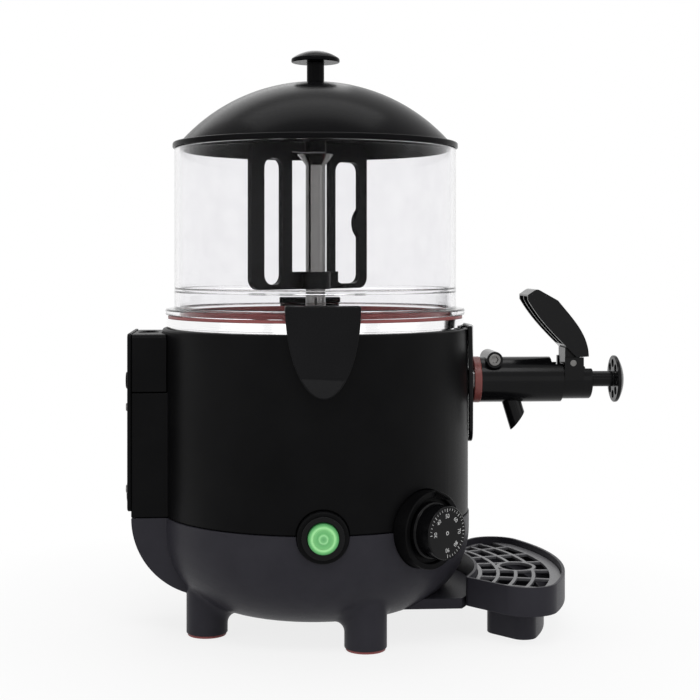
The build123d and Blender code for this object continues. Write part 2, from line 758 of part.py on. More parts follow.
# Thermostat bulb lying on the pan's floor
BULB_START = (-BULB_LEN / 2, BULB_Y, BATH_FLOOR + BULB_R)
with BuildPart() as thermostat_bulb:
    with BuildSketch(Plane(origin=BULB_START, x_dir=(0, 1, 0), z_dir=(1, 0, 0))):
        Circle(BULB_R)
    extrude(amount=BULB_LEN)
save(thermostat_bulb, "thermostat_bulb")

# Gear motor, its bracket and the shaft
with BuildPart() as gear_case:
    with BuildSketch(Plane.XY.offset(GEARBOX_TOP - GEARBOX_H)):
        RectangleRounded(GEARBOX_X, GEARBOX_Y, COL_EDGE)
    extrude(amount=GEARBOX_H)
    with BuildSketch(Plane.XY.offset(GEARBOX_TOP)):
        Circle(SHAFT_R + RUN)
    extrude(amount=SHAFT_BOTTOM - FREE - GEARBOX_TOP, mode=Mode.SUBTRACT)
save(gear_case, "gear_case")

with BuildPart() as motor_can:
    with BuildSketch(Plane.XY.offset(GEARBOX_TOP - GEARBOX_H)):
        Circle(MOTOR_R)
    extrude(amount=-MOTOR_H)
    fillet(motor_can.faces().sort_by(Axis.Z)[0].edges(), radius=COL_EDGE)
save(motor_can, "motor_can")

BRACKET_LEG = GEARBOX_TOP - BASE_BOTTOM - WALL
with BuildPart() as motor_bracket:
    with BuildSketch(Plane.XY.offset(GEARBOX_TOP)):
        Rectangle(BRACKET_X, BRACKET_Y)
        Circle(COUPLING_R + WALL, mode=Mode.SUBTRACT)
    extrude(amount=BRACKET_T)
    with BuildSketch(Plane.XY.offset(GEARBOX_TOP)):
        with Locations((BRACKET_X / 2 - BRACKET_T / 2, 0), (BRACKET_T / 2 - BRACKET_X / 2, 0)):
            Rectangle(BRACKET_T, BRACKET_Y)
    extrude(amount=-BRACKET_LEG)
save(motor_bracket, "motor_bracket")

with BuildPart() as drive_shaft:
    with BuildSketch(Plane.XY.offset(SHAFT_BOTTOM)):
        Circle(SHAFT_R)
    extrude(amount=SHAFT_TOP - SHAFT_BOTTOM)
save(drive_shaft, "drive_shaft")

with BuildPart() as drive_coupling:
    with BuildSketch(Plane.XY.offset(COUPLING_BOTTOM)):
        Circle(COUPLING_R)
        Circle(SHAFT_R, mode=Mode.SUBTRACT)
    extrude(amount=COUPLING_TOP - COUPLING_BOTTOM)
save(drive_coupling, "drive_coupling")

with BuildPart() as shaft_bush:
    with BuildSketch(Plane.XY.offset(STANDPIPE_TOP - BUSH_H)):
        Circle(STANDPIPE_BORE)
        Circle(SHAFT_R + RUN, mode=Mode.SUBTRACT)
    extrude(amount=BUSH_H)
save(shaft_bush, "shaft_bush")

# Stainless pot: its rim is the bright band, with the outlet hole at the front
with BuildPart() as pot:
    with BuildSketch(Plane.XZ):
        with BuildLine():
            Polyline(
                (TUBE_R, POT_FLOOR),
                (POT_R, POT_FLOOR),
                (POT_R, POT_RIM - SHEET),
                (BAND_R - SHEET, POT_RIM - SHEET),
                (BAND_R - SHEET, BAND_BOTTOM),
                (BAND_R, BAND_BOTTOM),
                (BAND_R, POT_RIM),
                (POT_R - SHEET, POT_RIM),
                (POT_R - SHEET, POT_FLOOR + SHEET),
                (TUBE_R, POT_FLOOR + SHEET),
                close=True,
            )
        make_face()
    revolve(axis=Axis.Z)
    with BuildSketch(front_plane(POT_R - OUTLET_R)):
        Circle(OUTLET_BORE)
    extrude(amount=2 * OUTLET_R, mode=Mode.SUBTRACT)
save(pot, "pot")

with BuildPart() as outlet_tube:
    with BuildSketch(front_plane(POT_R - OUTLET_R)):
        Circle(OUTLET_R)
        Circle(OUTLET_BORE, mode=Mode.SUBTRACT)
    extrude(amount=OUTLET_END - POT_R + OUTLET_R)
    with BuildSketch(Plane.XY.offset(TAP_Z - 2 * OUTLET_R)):
        Circle(POT_R)
    extrude(amount=4 * OUTLET_R, mode=Mode.SUBTRACT)
save(outlet_tube, "outlet_tube")

with BuildPart() as centre_tube:
    with BuildSketch(Plane.XZ):
        with BuildLine():
            Polyline(
                (TUBE_BORE, POT_FLOOR),
                (TUBE_R, POT_FLOOR),
                (TUBE_R, FLARE_BOTTOM),
                (FLARE_R, FLARE_TOP),
                (FLARE_R - SHEET, FLARE_TOP),
                (TUBE_BORE, FLARE_BOTTOM + SHEET),
                close=True,
            )
        make_face()
    revolve(axis=Axis.Z)
save(centre_tube, "centre_tube")

# Red gasket and the clear bowl that stands on it
BOWL_FOOT = POT_RIM + GASKET_T
with BuildPart() as bowl_gasket:
    with BuildSketch(Plane.XZ):
        with BuildLine():
            Polyline(
                (GASKET_IN_R, POT_RIM),
                (GASKET_OUT_R, POT_RIM),
                (GASKET_OUT_R, BOWL_FOOT),
                (GASKET_IN_R + GASKET_LIP_T, BOWL_FOOT),
                (GASKET_IN_R + GASKET_LIP_T, BOWL_FOOT + GASKET_LIP_H),
                (GASKET_IN_R, BOWL_FOOT + GASKET_LIP_H),
                close=True,
            )
        make_face()
    revolve(axis=Axis.Z)
save(bowl_gasket, "bowl_gasket")

with BuildPart() as clear_bowl:
    with BuildSketch(Plane.XZ):
        with BuildLine():
            Polyline(
                (BOWL_R - BOWL_T, BOWL_FOOT),
                (FLANGE_R, BOWL_FOOT),
                (FLANGE_R, BOWL_FOOT + FLANGE_T),
                (BOWL_R, BOWL_FOOT + FLANGE_T),
                (BOWL_R, BOWL_TOP),
                (BOWL_R - BOWL_T, BOWL_TOP),
                (BOWL_R - BOWL_T, STEP_Z + STEP_H),
                (BOWL_R - BOWL_T - STEP_W, STEP_Z + STEP_H),
                (BOWL_R - BOWL_T - STEP_W, STEP_Z),
                (BOWL_R - BOWL_T, STEP_Z),
                close=True,
            )
        make_face()
    revolve(axis=Axis.Z)
save(clear_bowl, "clear_bowl")

# Lid: band, inner skirt and dome in one moulding
LID_BASE = BOWL_TOP + FREE
LID_BAND_TOP = LID_BASE + LID_BAND_H
SKIRT_R = BOWL_R - BOWL_T - LID_SKIRT_GAP
SKIRT_IN_R = SKIRT_R - LID_T
SKIRT_BOTTOM = LID_BASE - LID_SKIRT_H
LID_IN_TOP = LID_TOP - LID_T
LID_IN_Z = LID_BAND_TOP - LID_T
with BuildPart() as lid:
    with BuildSketch(Plane.XZ):
        with BuildLine():
            Polyline((SKIRT_IN_R, SKIRT_BOTTOM), (SKIRT_R, SKIRT_BOTTOM), (SKIRT_R, LID_BASE))
            Polyline((SKIRT_R, LID_BASE), (LID_R, LID_BASE), (LID_R, LID_BAND_TOP))
            Line((LID_R, LID_BAND_TOP), (LID_DOME_R, LID_BAND_TOP))
            RadiusArc((LID_DOME_R, LID_BAND_TOP), (LID_FLAT_R, LID_TOP), -LID_SPHERE)
            Polyline((LID_FLAT_R, LID_TOP), (LID_SCREW_R, LID_TOP), (LID_SCREW_R, LID_IN_TOP))
            Line((LID_SCREW_R, LID_IN_TOP), (LID_FLAT_R, LID_IN_TOP))
            RadiusArc((LID_FLAT_R, LID_IN_TOP), (SKIRT_IN_R, LID_IN_Z), LID_SPHERE - LID_T)
            Line((SKIRT_IN_R, LID_IN_Z), (SKIRT_IN_R, SKIRT_BOTTOM))
        make_face()
    revolve(axis=Axis.Z)
save(lid, "lid")

KNOB_EDGE_Z = KNOB_RIM_Z + KNOB_EDGE
KNOB_CROWN = KNOB_TOP - KNOB_EDGE_Z
with BuildPart() as lid_knob:
    with BuildSketch(Plane.XZ):
        with BuildLine():
            Polyline((0, LID_TOP), (KNOB_STEM_R, LID_TOP), (KNOB_STEM_R, KNOB_RIM_Z))
            Polyline((KNOB_STEM_R, KNOB_RIM_Z), (KNOB_R, KNOB_RIM_Z), (KNOB_R, KNOB_EDGE_Z))
            RadiusArc((KNOB_R, KNOB_EDGE_Z), (0, KNOB_TOP), -cap_radius(KNOB_R, KNOB_CROWN))
            Line((0, KNOB_TOP), (0, LID_TOP))
        make_face()
    revolve(axis=Axis.Z)
    with BuildSketch(Plane.XY.offset(LID_TOP)):
        Circle(LID_SCREW_R)
    extrude(amount=LID_SCREW_LEN - LID_T, mode=Mode.SUBTRACT)
save(lid_knob, "lid_knob")

with BuildPart() as lid_screw:
    with BuildSketch(Plane.XY.offset(LID_TOP - LID_T)):
        Circle(LID_SCREW_R)
    extrude(amount=LID_SCREW_LEN)
    with BuildSketch(Plane.XY.offset(LID_TOP - LID_T - LID_SCREW_HEAD_H)):
        Circle(LID_SCREW_HEAD_R)
    extrude(amount=LID_SCREW_HEAD_H)
save(lid_screw, "lid_screw")

# Paddle: two slotted blades, a ring round the tube and a bridge over its flare
PADDLE_X = math.cos(math.radians(PADDLE_DEG))
PADDLE_Y = math.sin(math.radians(PADDLE_DEG))
PADDLE_AT = (PADDLE_SHIFT * PADDLE_Y, -PADDLE_SHIFT * PADDLE_X, 0)
PADDLE_PLANE = Plane(origin=PADDLE_AT, x_dir=(PADDLE_X, PADDLE_Y, 0), z_dir=(PADDLE_Y, -PADDLE_X, 0))
BLADE_MID = (PADDLE_IN + PADDLE_R) / 2
SLOT_H = PADDLE_LEN - SLOT_LOW - SLOT_HIGH
SLOT_Z = PADDLE_BOTTOM + SLOT_LOW + SLOT_H / 2
SLOT_OUT = PADDLE_IN + SLOT_FRONT_IN + SLOT_FRONT_W
with BuildPart() as paddle:
    for side, slot_in, slot_w in ((-1, SLOT_FRONT_IN, SLOT_FRONT_W), (1, SLOT_REAR_IN, SLOT_REAR_W)):
        with BuildSketch(PADDLE_PLANE):
            with Locations((side * BLADE_MID, (PADDLE_BOTTOM + BRIDGE_TOP) / 2)):
                RectangleRounded(PADDLE_R - PADDLE_IN, PADDLE_LEN, PADDLE_CORNER)
            with Locations((side * (PADDLE_IN + slot_in + slot_w / 2), SLOT_Z)):
                RectangleRounded(slot_w, SLOT_H, SLOT_ROUND, mode=Mode.SUBTRACT)
            with Locations((side * (PADDLE_IN + TUBE_R) / 2, PADDLE_BOTTOM + PADDLE_BAR_H / 2)):
                Rectangle(PADDLE_IN + PADDLE_CORNER, PADDLE_BAR_H)
        extrude(amount=PADDLE_T / 2, both=True)
    # the front blade's outer bar swells into its slot halfway up
    with BuildSketch(PADDLE_PLANE):
        with Locations((SWELL_DEPTH - SWELL_R - SLOT_OUT, SLOT_Z)):
            Circle(SWELL_R)
        with Locations((-SLOT_OUT, SLOT_Z)):
            Rectangle(2 * SWELL_DEPTH, 2 * SWELL_R, mode=Mode.INTERSECT)
    extrude(amount=PADDLE_T / 2, both=True)
    with BuildSketch(PADDLE_PLANE):
        with Locations((0, (BRIDGE_BOTTOM + BRIDGE_TOP) / 2)):
            Rectangle(2 * (PADDLE_IN + PADDLE_CORNER), BRIDGE_TOP - BRIDGE_BOTTOM)
    extrude(amount=PADDLE_T / 2, both=True)
    with BuildSketch(Plane.XY.offset(BRIDGE_BOTTOM)):
        Circle(HUB_TOP_R)
    extrude(amount=BRIDGE_TOP - BRIDGE_BOTTOM)
    with BuildSketch(Plane.XY.offset(PADDLE_BOTTOM)):
        Circle(HUB_R)
    extrude(amount=PADDLE_BAR_H)
    with BuildSketch(Plane.XY.offset(PADDLE_BOTTOM)):
        Circle(TUBE_R + FREE)
    extrude(amount=PADDLE_BAR_H, mode=Mode.SUBTRACT)
    with BuildSketch(Plane.XY.offset(BRIDGE_BOTTOM)):
        Circle(SHAFT_R + RUN)
    extrude(amount=SHAFT_TOP + FREE - BRIDGE_BOTTOM, mode=Mode.SUBTRACT)
save(paddle, "paddle")

# Side handles: bent sheet hooked on the bowl's flange
FLANGE_TOP = BOWL_FOOT + FLANGE_T
with BuildPart() as handle_left:
    with BuildSketch(Plane.XZ):
        with BuildLine():
            Polyline(
                (-BOWL_R - FREE, FLANGE_TOP),
                (-BOWL_R - FREE, HANDLE_TOP),
                (-HANDLE_TOP_R, HANDLE_TOP),
                (-HANDLE_CREASE_R, HANDLE_CREASE_Z),
                (-HANDLE_TIP_R, HANDLE_TIP_Z),
                (-HANDLE_TIP_R + HANDLE_T, HANDLE_TIP_Z),
                (-HANDLE_CREASE_R + HANDLE_T, HANDLE_CREASE_Z),
                (-HANDLE_TOP_R + HANDLE_T, FLANGE_TOP),
                close=True,
            )
        make_face()
    extrude(amount=HANDLE_HALF, both=True)
    with BuildSketch(Plane.YZ):
        with Locations((0, HANDLE_TOP)):
            Ellipse(HANDLE_HALF, HANDLE_TOP - HANDLE_TIP_Z)
    extrude(amount=HANDLE_TIP_R, both=True, mode=Mode.INTERSECT)
save(handle_left, "handle_left")

with BuildPart() as handle_right:
    add(handle_left.part)
    mirror(about=Plane.YZ, mode=Mode.REPLACE)
save(handle_right, "handle_right")

# Front shield over the notch, held on the outlet tube
with BuildPart() as front_shield:
    with BuildSketch(Plane.XY.offset(SHIELD_BOTTOM)):
        Circle(SHIELD_IN + SHIELD_T)
        Circle(SHIELD_IN, mode=Mode.SUBTRACT)
    extrude(amount=SHIELD_TOP - SHIELD_BOTTOM)
    with BuildSketch(front_plane(0, 0)):
        with BuildLine():
            Polyline(
                (-SHIELD_TIP_HALF, SHIELD_BOTTOM + SHIELD_TIP_HALF),
                (-SHIELD_HALF, SHIELD_TOP),
                (SHIELD_HALF, SHIELD_TOP),
                (SHIELD_TIP_HALF, SHIELD_BOTTOM + SHIELD_TIP_HALF),
            )
            ThreePointArc(
                (SHIELD_TIP_HALF, SHIELD_BOTTOM + SHIELD_TIP_HALF),
                (0, SHIELD_BOTTOM),
                (-SHIELD_TIP_HALF, SHIELD_BOTTOM + SHIELD_TIP_HALF),
            )
        make_face()
    extrude(amount=SHIELD_IN + 2 * SHIELD_T, mode=Mode.INTERSECT)
    with BuildSketch(front_plane(POT_R)):
        Circle(OUTLET_R)
    extrude(amount=BODY_R, mode=Mode.SUBTRACT)
save(front_shield, "front_shield")

with BuildPart() as tap_seal:
    with BuildSketch(front_plane(SEAL_BACK)):
        Circle(SEAL_R)
        Circle(OUTLET_R, mode=Mode.SUBTRACT)
    extrude(amount=BARREL_BACK - SEAL_BACK)
save(tap_seal, "tap_seal")

# Tap body: barrel, nose, clamp boss, lever lugs and spout
SPOUT_DX = math.sin(math.radians(SPOUT_LEAN))
SPOUT_DZ = math.cos(math.radians(SPOUT_LEAN))
SPOUT_PLANE = Plane(origin=(0, -SPOUT_F, TAP_Z), x_dir=(1, 0, 0), z_dir=(0, -SPOUT_DX, -SPOUT_DZ))
SPOUT_CUT_RISE = (SPOUT_LEN + SPOUT_R) * math.tan(math.radians(SPOUT_CUT))
LUG_MID = LEVER_ROOT_HALF + FREE + LUG_T / 2
with BuildPart() as tap_body:
    with BuildSketch(SPOUT_PLANE):
        Circle(SPOUT_R)
    extrude(amount=SPOUT_LEN)
    # slanted mouth: the side towards the body hangs lower
    with BuildSketch(SIDE):
        with BuildLine():
            Polyline(
                (SPOUT_F - SPOUT_R, SPOUT_TIP_Z),
                (SPOUT_F + SPOUT_LEN, SPOUT_TIP_Z + SPOUT_CUT_RISE),
                (SPOUT_F + SPOUT_LEN, SPOUT_TIP_Z - SPOUT_LEN),
                (SPOUT_F - SPOUT_R, SPOUT_TIP_Z - SPOUT_LEN),
                close=True,
            )
        make_face()
    extrude(amount=SPOUT_R, both=True, mode=Mode.SUBTRACT)
    with BuildSketch(front_plane(BARREL_BACK)):
        Circle(BARREL_R)
    extrude(amount=NOSE_START - BARREL_BACK)
    with BuildSketch(front_plane(NOSE_START)):
        Circle(NOSE_R)
    extrude(amount=BARREL_END - NOSE_START)
    with BuildSketch(SIDE):
        with Locations((BOSS_F, TAP_Z + BOSS_RISE)):
            Circle(BOSS_R)
    extrude(amount=BOSS_HALF, both=True)
    for side in (-1, 1):
        with BuildSketch(SIDE.offset(side * LUG_MID)):
            with Locations(((LUG_BACK + BARREL_END) / 2, (TAP_Z + LUG_TOP) / 2)):
                Rectangle(BARREL_END - LUG_BACK, LUG_TOP - TAP_Z)
        extrude(amount=LUG_T / 2, both=True)
    with BuildSketch(front_plane(BARREL_BACK)):
        Circle(OUTLET_R)
    extrude(amount=OUTLET_END - BARREL_BACK, mode=Mode.SUBTRACT)
    with BuildSketch(front_plane(OUTLET_END)):
        Circle(OUTLET_BORE)
    extrude(amount=BARREL_END - OUTLET_END, mode=Mode.SUBTRACT)
    with BuildSketch(SPOUT_PLANE):
        Circle(SPOUT_BORE)
    extrude(amount=SPOUT_LEN, mode=Mode.SUBTRACT)
    # lever recess in the nose, open at the top
    with BuildSketch(SIDE):
        with Locations(((RECESS_BACK + BARREL_END) / 2, RECESS_FLOOR + BARREL_R / 2)):
            Rectangle(BARREL_END - RECESS_BACK, BARREL_R)
    extrude(amount=LEVER_ROOT_HALF + FREE, both=True, mode=Mode.SUBTRACT)
    with BuildSketch(SIDE):
        with Locations(((SEAT_F + SEAT_T + BARREL_END) / 2, TAP_Z + BARREL_R / 2)):
            Rectangle(BARREL_END - SEAT_F - SEAT_T, BARREL_R)
    extrude(amount=FORK_HALF + EASE, both=True, mode=Mode.SUBTRACT)
    with BuildSketch(SIDE):
        with Locations((PIVOT_F, PIVOT_Z)):
            Circle(PIN_R)
    extrude(amount=BARREL_R, both=True, mode=Mode.SUBTRACT)
    with BuildSketch(SIDE.offset(BOSS_HALF)):
        with Locations((BOSS_F, TAP_Z + BOSS_RISE)):
            Circle(SCREW_HEAD_R + FREE)
    extrude(amount=-SCREW_SINK, mode=Mode.SUBTRACT)
    with BuildSketch(SIDE.offset(BOSS_HALF)):
        with Locations((BOSS_F, TAP_Z + BOSS_RISE)):
            Circle(SCREW_R)
    extrude(amount=-SCREW_SINK - SCREW_LEN, mode=Mode.SUBTRACT)
save(tap_body, "tap_body")

with BuildPart() as clamp_screw:
    with BuildSketch(SIDE.offset(BOSS_HALF - SCREW_SINK)):
        with Locations((BOSS_F, TAP_Z + BOSS_RISE)):
            Circle(SCREW_HEAD_R)
    extrude(amount=SCREW_HEAD_H)
    with BuildSketch(SIDE.offset(BOSS_HALF - SCREW_SINK)):
        with Locations((BOSS_F, TAP_Z + BOSS_RISE)):
            Circle(SCREW_R)
    extrude(amount=-SCREW_LEN)
    with BuildSketch(SIDE.offset(BOSS_HALF - SCREW_SINK + SCREW_HEAD_H)):
        with Locations((BOSS_F, TAP_Z + BOSS_RISE)):
            RegularPolygon(SCREW_HEX, 6)
    extrude(amount=-SCREW_HEX_D, mode=Mode.SUBTRACT)
save(clamp_screw, "clamp_screw")

with BuildPart() as tap_end_cap:
    with BuildSketch(front_plane(BARREL_END)):
        Circle(NOSE_R)
    extrude(amount=END_CAP_T)
    fillet(tap_end_cap.faces().sort_by(Axis.Y)[0].edges(), radius=COVER_PROUD)
    with BuildSketch(front_plane(BARREL_END)):
        Circle(END_CAP_CAVITY_R)
    extrude(amount=END_CAP_CAVITY, mode=Mode.SUBTRACT)
    with BuildSketch(front_plane(BARREL_END)):
        Circle(ROD_R + RUN)
    extrude(amount=END_CAP_T, mode=Mode.SUBTRACT)
    with BuildSketch(SIDE):
        with Locations((BARREL_END + END_CAP_T / 2, RECESS_FLOOR + BARREL_R)):
            Rectangle(END_CAP_T, 2 * BARREL_R)
    extrude(amount=LEVER_ROOT_HALF + FREE, both=True, mode=Mode.SUBTRACT)
save(tap_end_cap, "tap_end_cap")

with BuildPart() as spring_seat:
    with BuildSketch(front_plane(SEAT_F)):
        Circle(OUTLET_BORE)
        Circle(ROD_R + RUN, mode=Mode.SUBTRACT)
    extrude(amount=SEAT_T)
save(spring_seat, "spring_seat")

PISTON_FRONT = PISTON_BACK + PISTON_LEN
with BuildPart() as valve_spring:
    with BuildSketch(front_plane(PISTON_FRONT + FREE)):
        Circle(SPRING_R)
        Circle(SPRING_R - SPRING_T, mode=Mode.SUBTRACT)
    extrude(amount=SEAT_F - PISTON_FRONT - 2 * FREE)
save(valve_spring, "valve_spring")

with BuildPart() as lever_pin:
    with BuildSketch(SIDE):
        with Locations((PIVOT_F, PIVOT_Z)):
            Circle(PIN_R)
    extrude(amount=LEVER_ROOT_HALF + FREE + LUG_T, both=True)
save(lever_pin, "lever_pin")

# Lever: wide hollow thumb plate on a narrower root, with a fork down to the rod
LEVER_TIP = (PIVOT_F - LEVER_TIP_BACK, PIVOT_Z + LEVER_TIP_RISE)
LEVER_CREST = (PIVOT_F - LEVER_CREST_BACK, PIVOT_Z + LEVER_CREST_RISE)
LEVER_BROW = (PIVOT_F - LEVER_BROW_BACK, PIVOT_Z + LEVER_BROW_RISE)
LEVER_FRONT_UP = (PIVOT_F - LEVER_UP_BACK, PIVOT_Z + LEVER_UP_RISE)
LEVER_FRONT_LOW = (PIVOT_F + LEVER_LOW_OUT, PIVOT_Z + LEVER_LOW_RISE)
LEVER_TOE = (PIVOT_F + LEVER_TOE_OUT, PIVOT_Z + LEVER_TOE_RISE)
LEVER_ROOT_FRONT = (PIVOT_F + LEVER_ROOT_R, LUG_TOP + EASE)
LEVER_HEEL = (PIVOT_F + LEVER_HEEL_OUT, LUG_TOP + EASE)
LEVER_BACK_LOW = (PIVOT_F - LEVER_IN_LOW_BACK, PIVOT_Z + LEVER_IN_LOW_RISE)
LEVER_BACK_UP = (PIVOT_F - LEVER_IN_UP_BACK, PIVOT_Z + LEVER_IN_UP_RISE)
LEVER_TIP_UNDER = (PIVOT_F - LEVER_TIP_BACK, PIVOT_Z + LEVER_TIP_RISE - LEVER_TIP_T)
LEVER_HOLLOW_Z = PIVOT_Z + LEVER_HOLLOW_RISE
LEVER_POCKET_HALF = (LEVER_HALF - LEVER_WALL - LEVER_RIB / 2) / 2
with BuildPart() as tap_lever:
    with BuildSketch(SIDE) as lever_outline:
        with BuildLine():
            Polyline(LEVER_TIP, LEVER_CREST, LEVER_BROW)
            Spline(LEVER_BROW, LEVER_FRONT_UP, LEVER_FRONT_LOW, LEVER_TOE)
            Polyline(LEVER_TOE, LEVER_ROOT_FRONT, LEVER_HEEL)
            Spline(LEVER_HEEL, LEVER_BACK_LOW, LEVER_BACK_UP, LEVER_TIP_UNDER)
            Line(LEVER_TIP_UNDER, LEVER_TIP)
        make_face()
    extrude(amount=LEVER_HALF, both=True)
    fillet(tap_lever.edges().filter_by(Axis.X).group_by(Axis.Z)[-1], radius=COL_EDGE)
    # two pockets open to the back, with a rib between them
    for side in (-1, 1):
        with BuildSketch(SIDE.offset(side * (LEVER_RIB / 2 + LEVER_POCKET_HALF))):
            add(lever_outline.sketch_local)
            with Locations((-LEVER_SKIN_F, -LEVER_SKIN_Z)):
                add(lever_outline.sketch_local, mode=Mode.INTERSECT)
            with Locations((PIVOT_F, LEVER_HOLLOW_Z - LEVER_HALF)):
                Rectangle(4 * LEVER_HALF, 2 * LEVER_HALF, mode=Mode.SUBTRACT)
        extrude(amount=LEVER_POCKET_HALF, both=True, mode=Mode.SUBTRACT)
    with BuildSketch(SIDE):
        with Locations((PIVOT_F, PIVOT_Z)):
            Circle(LEVER_ROOT_R)
        with Locations((PIVOT_F, PIVOT_Z + LEVER_ROOT_R)):
            Rectangle(2 * LEVER_ROOT_R, 2 * LEVER_ROOT_R)
    extrude(amount=LEVER_ROOT_HALF, both=True)
    with BuildSketch(SIDE):
        with Locations((PIVOT_F, (FORK_BOTTOM + PIVOT_Z) / 2)):
            Rectangle(FORK_T, PIVOT_Z - FORK_BOTTOM)
    extrude(amount=FORK_HALF, both=True)
    with BuildSketch(SIDE):
        with Locations((PIVOT_F, FORK_BOTTOM + FORK_SLOT / 2)):
            Rectangle(2 * FORK_T, 2 * FORK_SLOT)
    extrude(amount=FORK_SLOT, both=True, mode=Mode.SUBTRACT)
    with BuildSketch(SIDE):
        with Locations((PIVOT_F, PIVOT_Z)):
            Circle(PIN_R + RUN)
    extrude(amount=LEVER_HALF, both=True, mode=Mode.SUBTRACT)
save(tap_lever, "tap_lever")

# Valve piston with two ring grooves
with BuildPart() as valve_piston:
    with BuildSketch(front_plane(PISTON_BACK)):
        Circle(OUTLET_BORE - PISTON_WALL)
    extrude(amount=PISTON_LEN)
    for ring_f in (PISTON_BACK + RING_W, PISTON_FRONT - 2 * RING_W):
        with BuildSketch(front_plane(ring_f)):
            Circle(OUTLET_BORE)
            Circle(OUTLET_BORE - PISTON_WALL - RING_D, mode=Mode.SUBTRACT)
        extrude(amount=RING_W, mode=Mode.SUBTRACT)
    with BuildSketch(front_plane(PISTON_FRONT)):
        Circle(ROD_R)
    extrude(amount=-PISTON_LEN / 2, mode=Mode.SUBTRACT)
save(valve_piston, "valve_piston")

with BuildPart() as piston_rings:
    for ring_f in (PISTON_BACK + RING_W, PISTON_FRONT - 2 * RING_W):
        with BuildSketch(front_plane(ring_f)):
            Circle(OUTLET_BORE - PISTON_WALL / 2)
            Circle(OUTLET_BORE - PISTON_WALL - RING_D, mode=Mode.SUBTRACT)
        extrude(amount=RING_W)
save(piston_rings, "piston_rings")

COLLAR_F = PIVOT_F + FORK_T / 2 + FREE
with BuildPart() as valve_rod:
    with BuildSketch(front_plane(PISTON_FRONT - PISTON_LEN / 2)):
        Circle(ROD_R)
    extrude(amount=PULL_RIM_F - PISTON_FRONT + PISTON_LEN / 2)
    with BuildSketch(front_plane(COLLAR_F)):
        Circle(COLLAR_R)
    extrude(amount=COLLAR_T)
save(valve_rod, "valve_rod")

with BuildPart() as pull_knob:
    with BuildSketch(SIDE):
        with BuildLine():
            Polyline(
                (PULL_STEM_F, TAP_Z),
                (PULL_STEM_F, TAP_Z + PULL_STEM_R),
                (PULL_RIM_F - PULL_EDGE, TAP_Z + PULL_STEM_R),
                (PULL_RIM_F - PULL_EDGE, TAP_Z + PULL_R),
                (PULL_RIM_F, TAP_Z + PULL_R),
            )
            RadiusArc(
                (PULL_RIM_F, TAP_Z + PULL_R),
                (PULL_APEX_F, TAP_Z),
                cap_radius(PULL_R, PULL_CROWN),
            )
            Line((PULL_APEX_F, TAP_Z), (PULL_STEM_F, TAP_Z))
        make_face()
    revolve(axis=Axis((0, 0, TAP_Z), (0, -1, 0)))
    with BuildSketch(front_plane(PULL_RIM_F - PULL_EDGE)):
        with PolarLocations((PULL_STEM_R + PULL_R) / 2, PULL_POCKETS):
            Circle(PULL_STEM_R / 2)
    extrude(amount=PULL_POCKET_D, mode=Mode.SUBTRACT)
    with BuildSketch(front_plane(PULL_STEM_F)):
        Circle(ROD_R)
    extrude(amount=PULL_RIM_F - PULL_STEM_F, mode=Mode.SUBTRACT)
save(pull_knob, "pull_knob")

# Power button in its collar on the seam
SWITCH_BACK = SWITCH_FACE - SWITCH_DEPTH
with BuildPart() as switch_collar:
    with BuildSketch(radial_plane(SWITCH_DEG, SWITCH_BACK, SEAM_Z)):
        Circle(SWITCH_COLLAR_R)
        Circle(SWITCH_BEZEL_R - SWITCH_BEZEL_FLANGE, mode=Mode.SUBTRACT)
    extrude(amount=SWITCH_DEPTH)
    switch_rims = switch_collar.edges().filter_by(GeomType.CIRCLE).group_by(Axis.X)[0]
    fillet(switch_rims.sort_by(SortBy.RADIUS)[-1], radius=COVER_PROUD)
save(switch_collar, "switch_collar")

with BuildPart() as switch_bezel:
    with BuildSketch(radial_plane(SWITCH_DEG, SWITCH_FACE, SEAM_Z)):
        Circle(SWITCH_BEZEL_R)
        Circle(BUTTON_R + FREE, mode=Mode.SUBTRACT)
    extrude(amount=SWITCH_BEZEL_T)
    with BuildSketch(radial_plane(SWITCH_DEG, SWITCH_BACK, SEAM_Z)):
        Circle(SWITCH_BEZEL_R - SWITCH_BEZEL_FLANGE)
        Circle(BUTTON_R + FREE, mode=Mode.SUBTRACT)
    extrude(amount=SWITCH_DEPTH)
save(switch_bezel, "switch_bezel")

BUTTON_FRONT = SWITCH_FACE + SWITCH_BEZEL_T + BUTTON_PROUD
with BuildPart() as power_button:
    with BuildSketch(radial_plane(SWITCH_DEG, BUTTON_FRONT - BUTTON_LEN, SEAM_Z)):
        Circle(BUTTON_R)
    extrude(amount=BUTTON_LEN - 2 * BUTTON_STEP)
    with BuildSketch(radial_plane(SWITCH_DEG, BUTTON_FRONT - 2 * BUTTON_STEP, SEAM_Z)):
        Circle(BUTTON_RING_R)
    extrude(amount=BUTTON_STEP)
    with BuildSketch(radial_plane(SWITCH_DEG, BUTTON_FRONT - BUTTON_STEP, SEAM_Z)):
        Circle(BUTTON_DOT_R)
    extrude(amount=BUTTON_STEP)
save(power_button, "power_button")

BUTTON_BACK = BUTTON_FRONT - BUTTON_LEN
with BuildPart() as switch_body:
    with BuildSketch(radial_plane(SWITCH_DEG, SWITCH_BACK, SEAM_Z)):
        Circle(SWITCH_BODY_R)
    extrude(amount=-SWITCH_BODY_LEN)
save(switch_body, "switch_body")

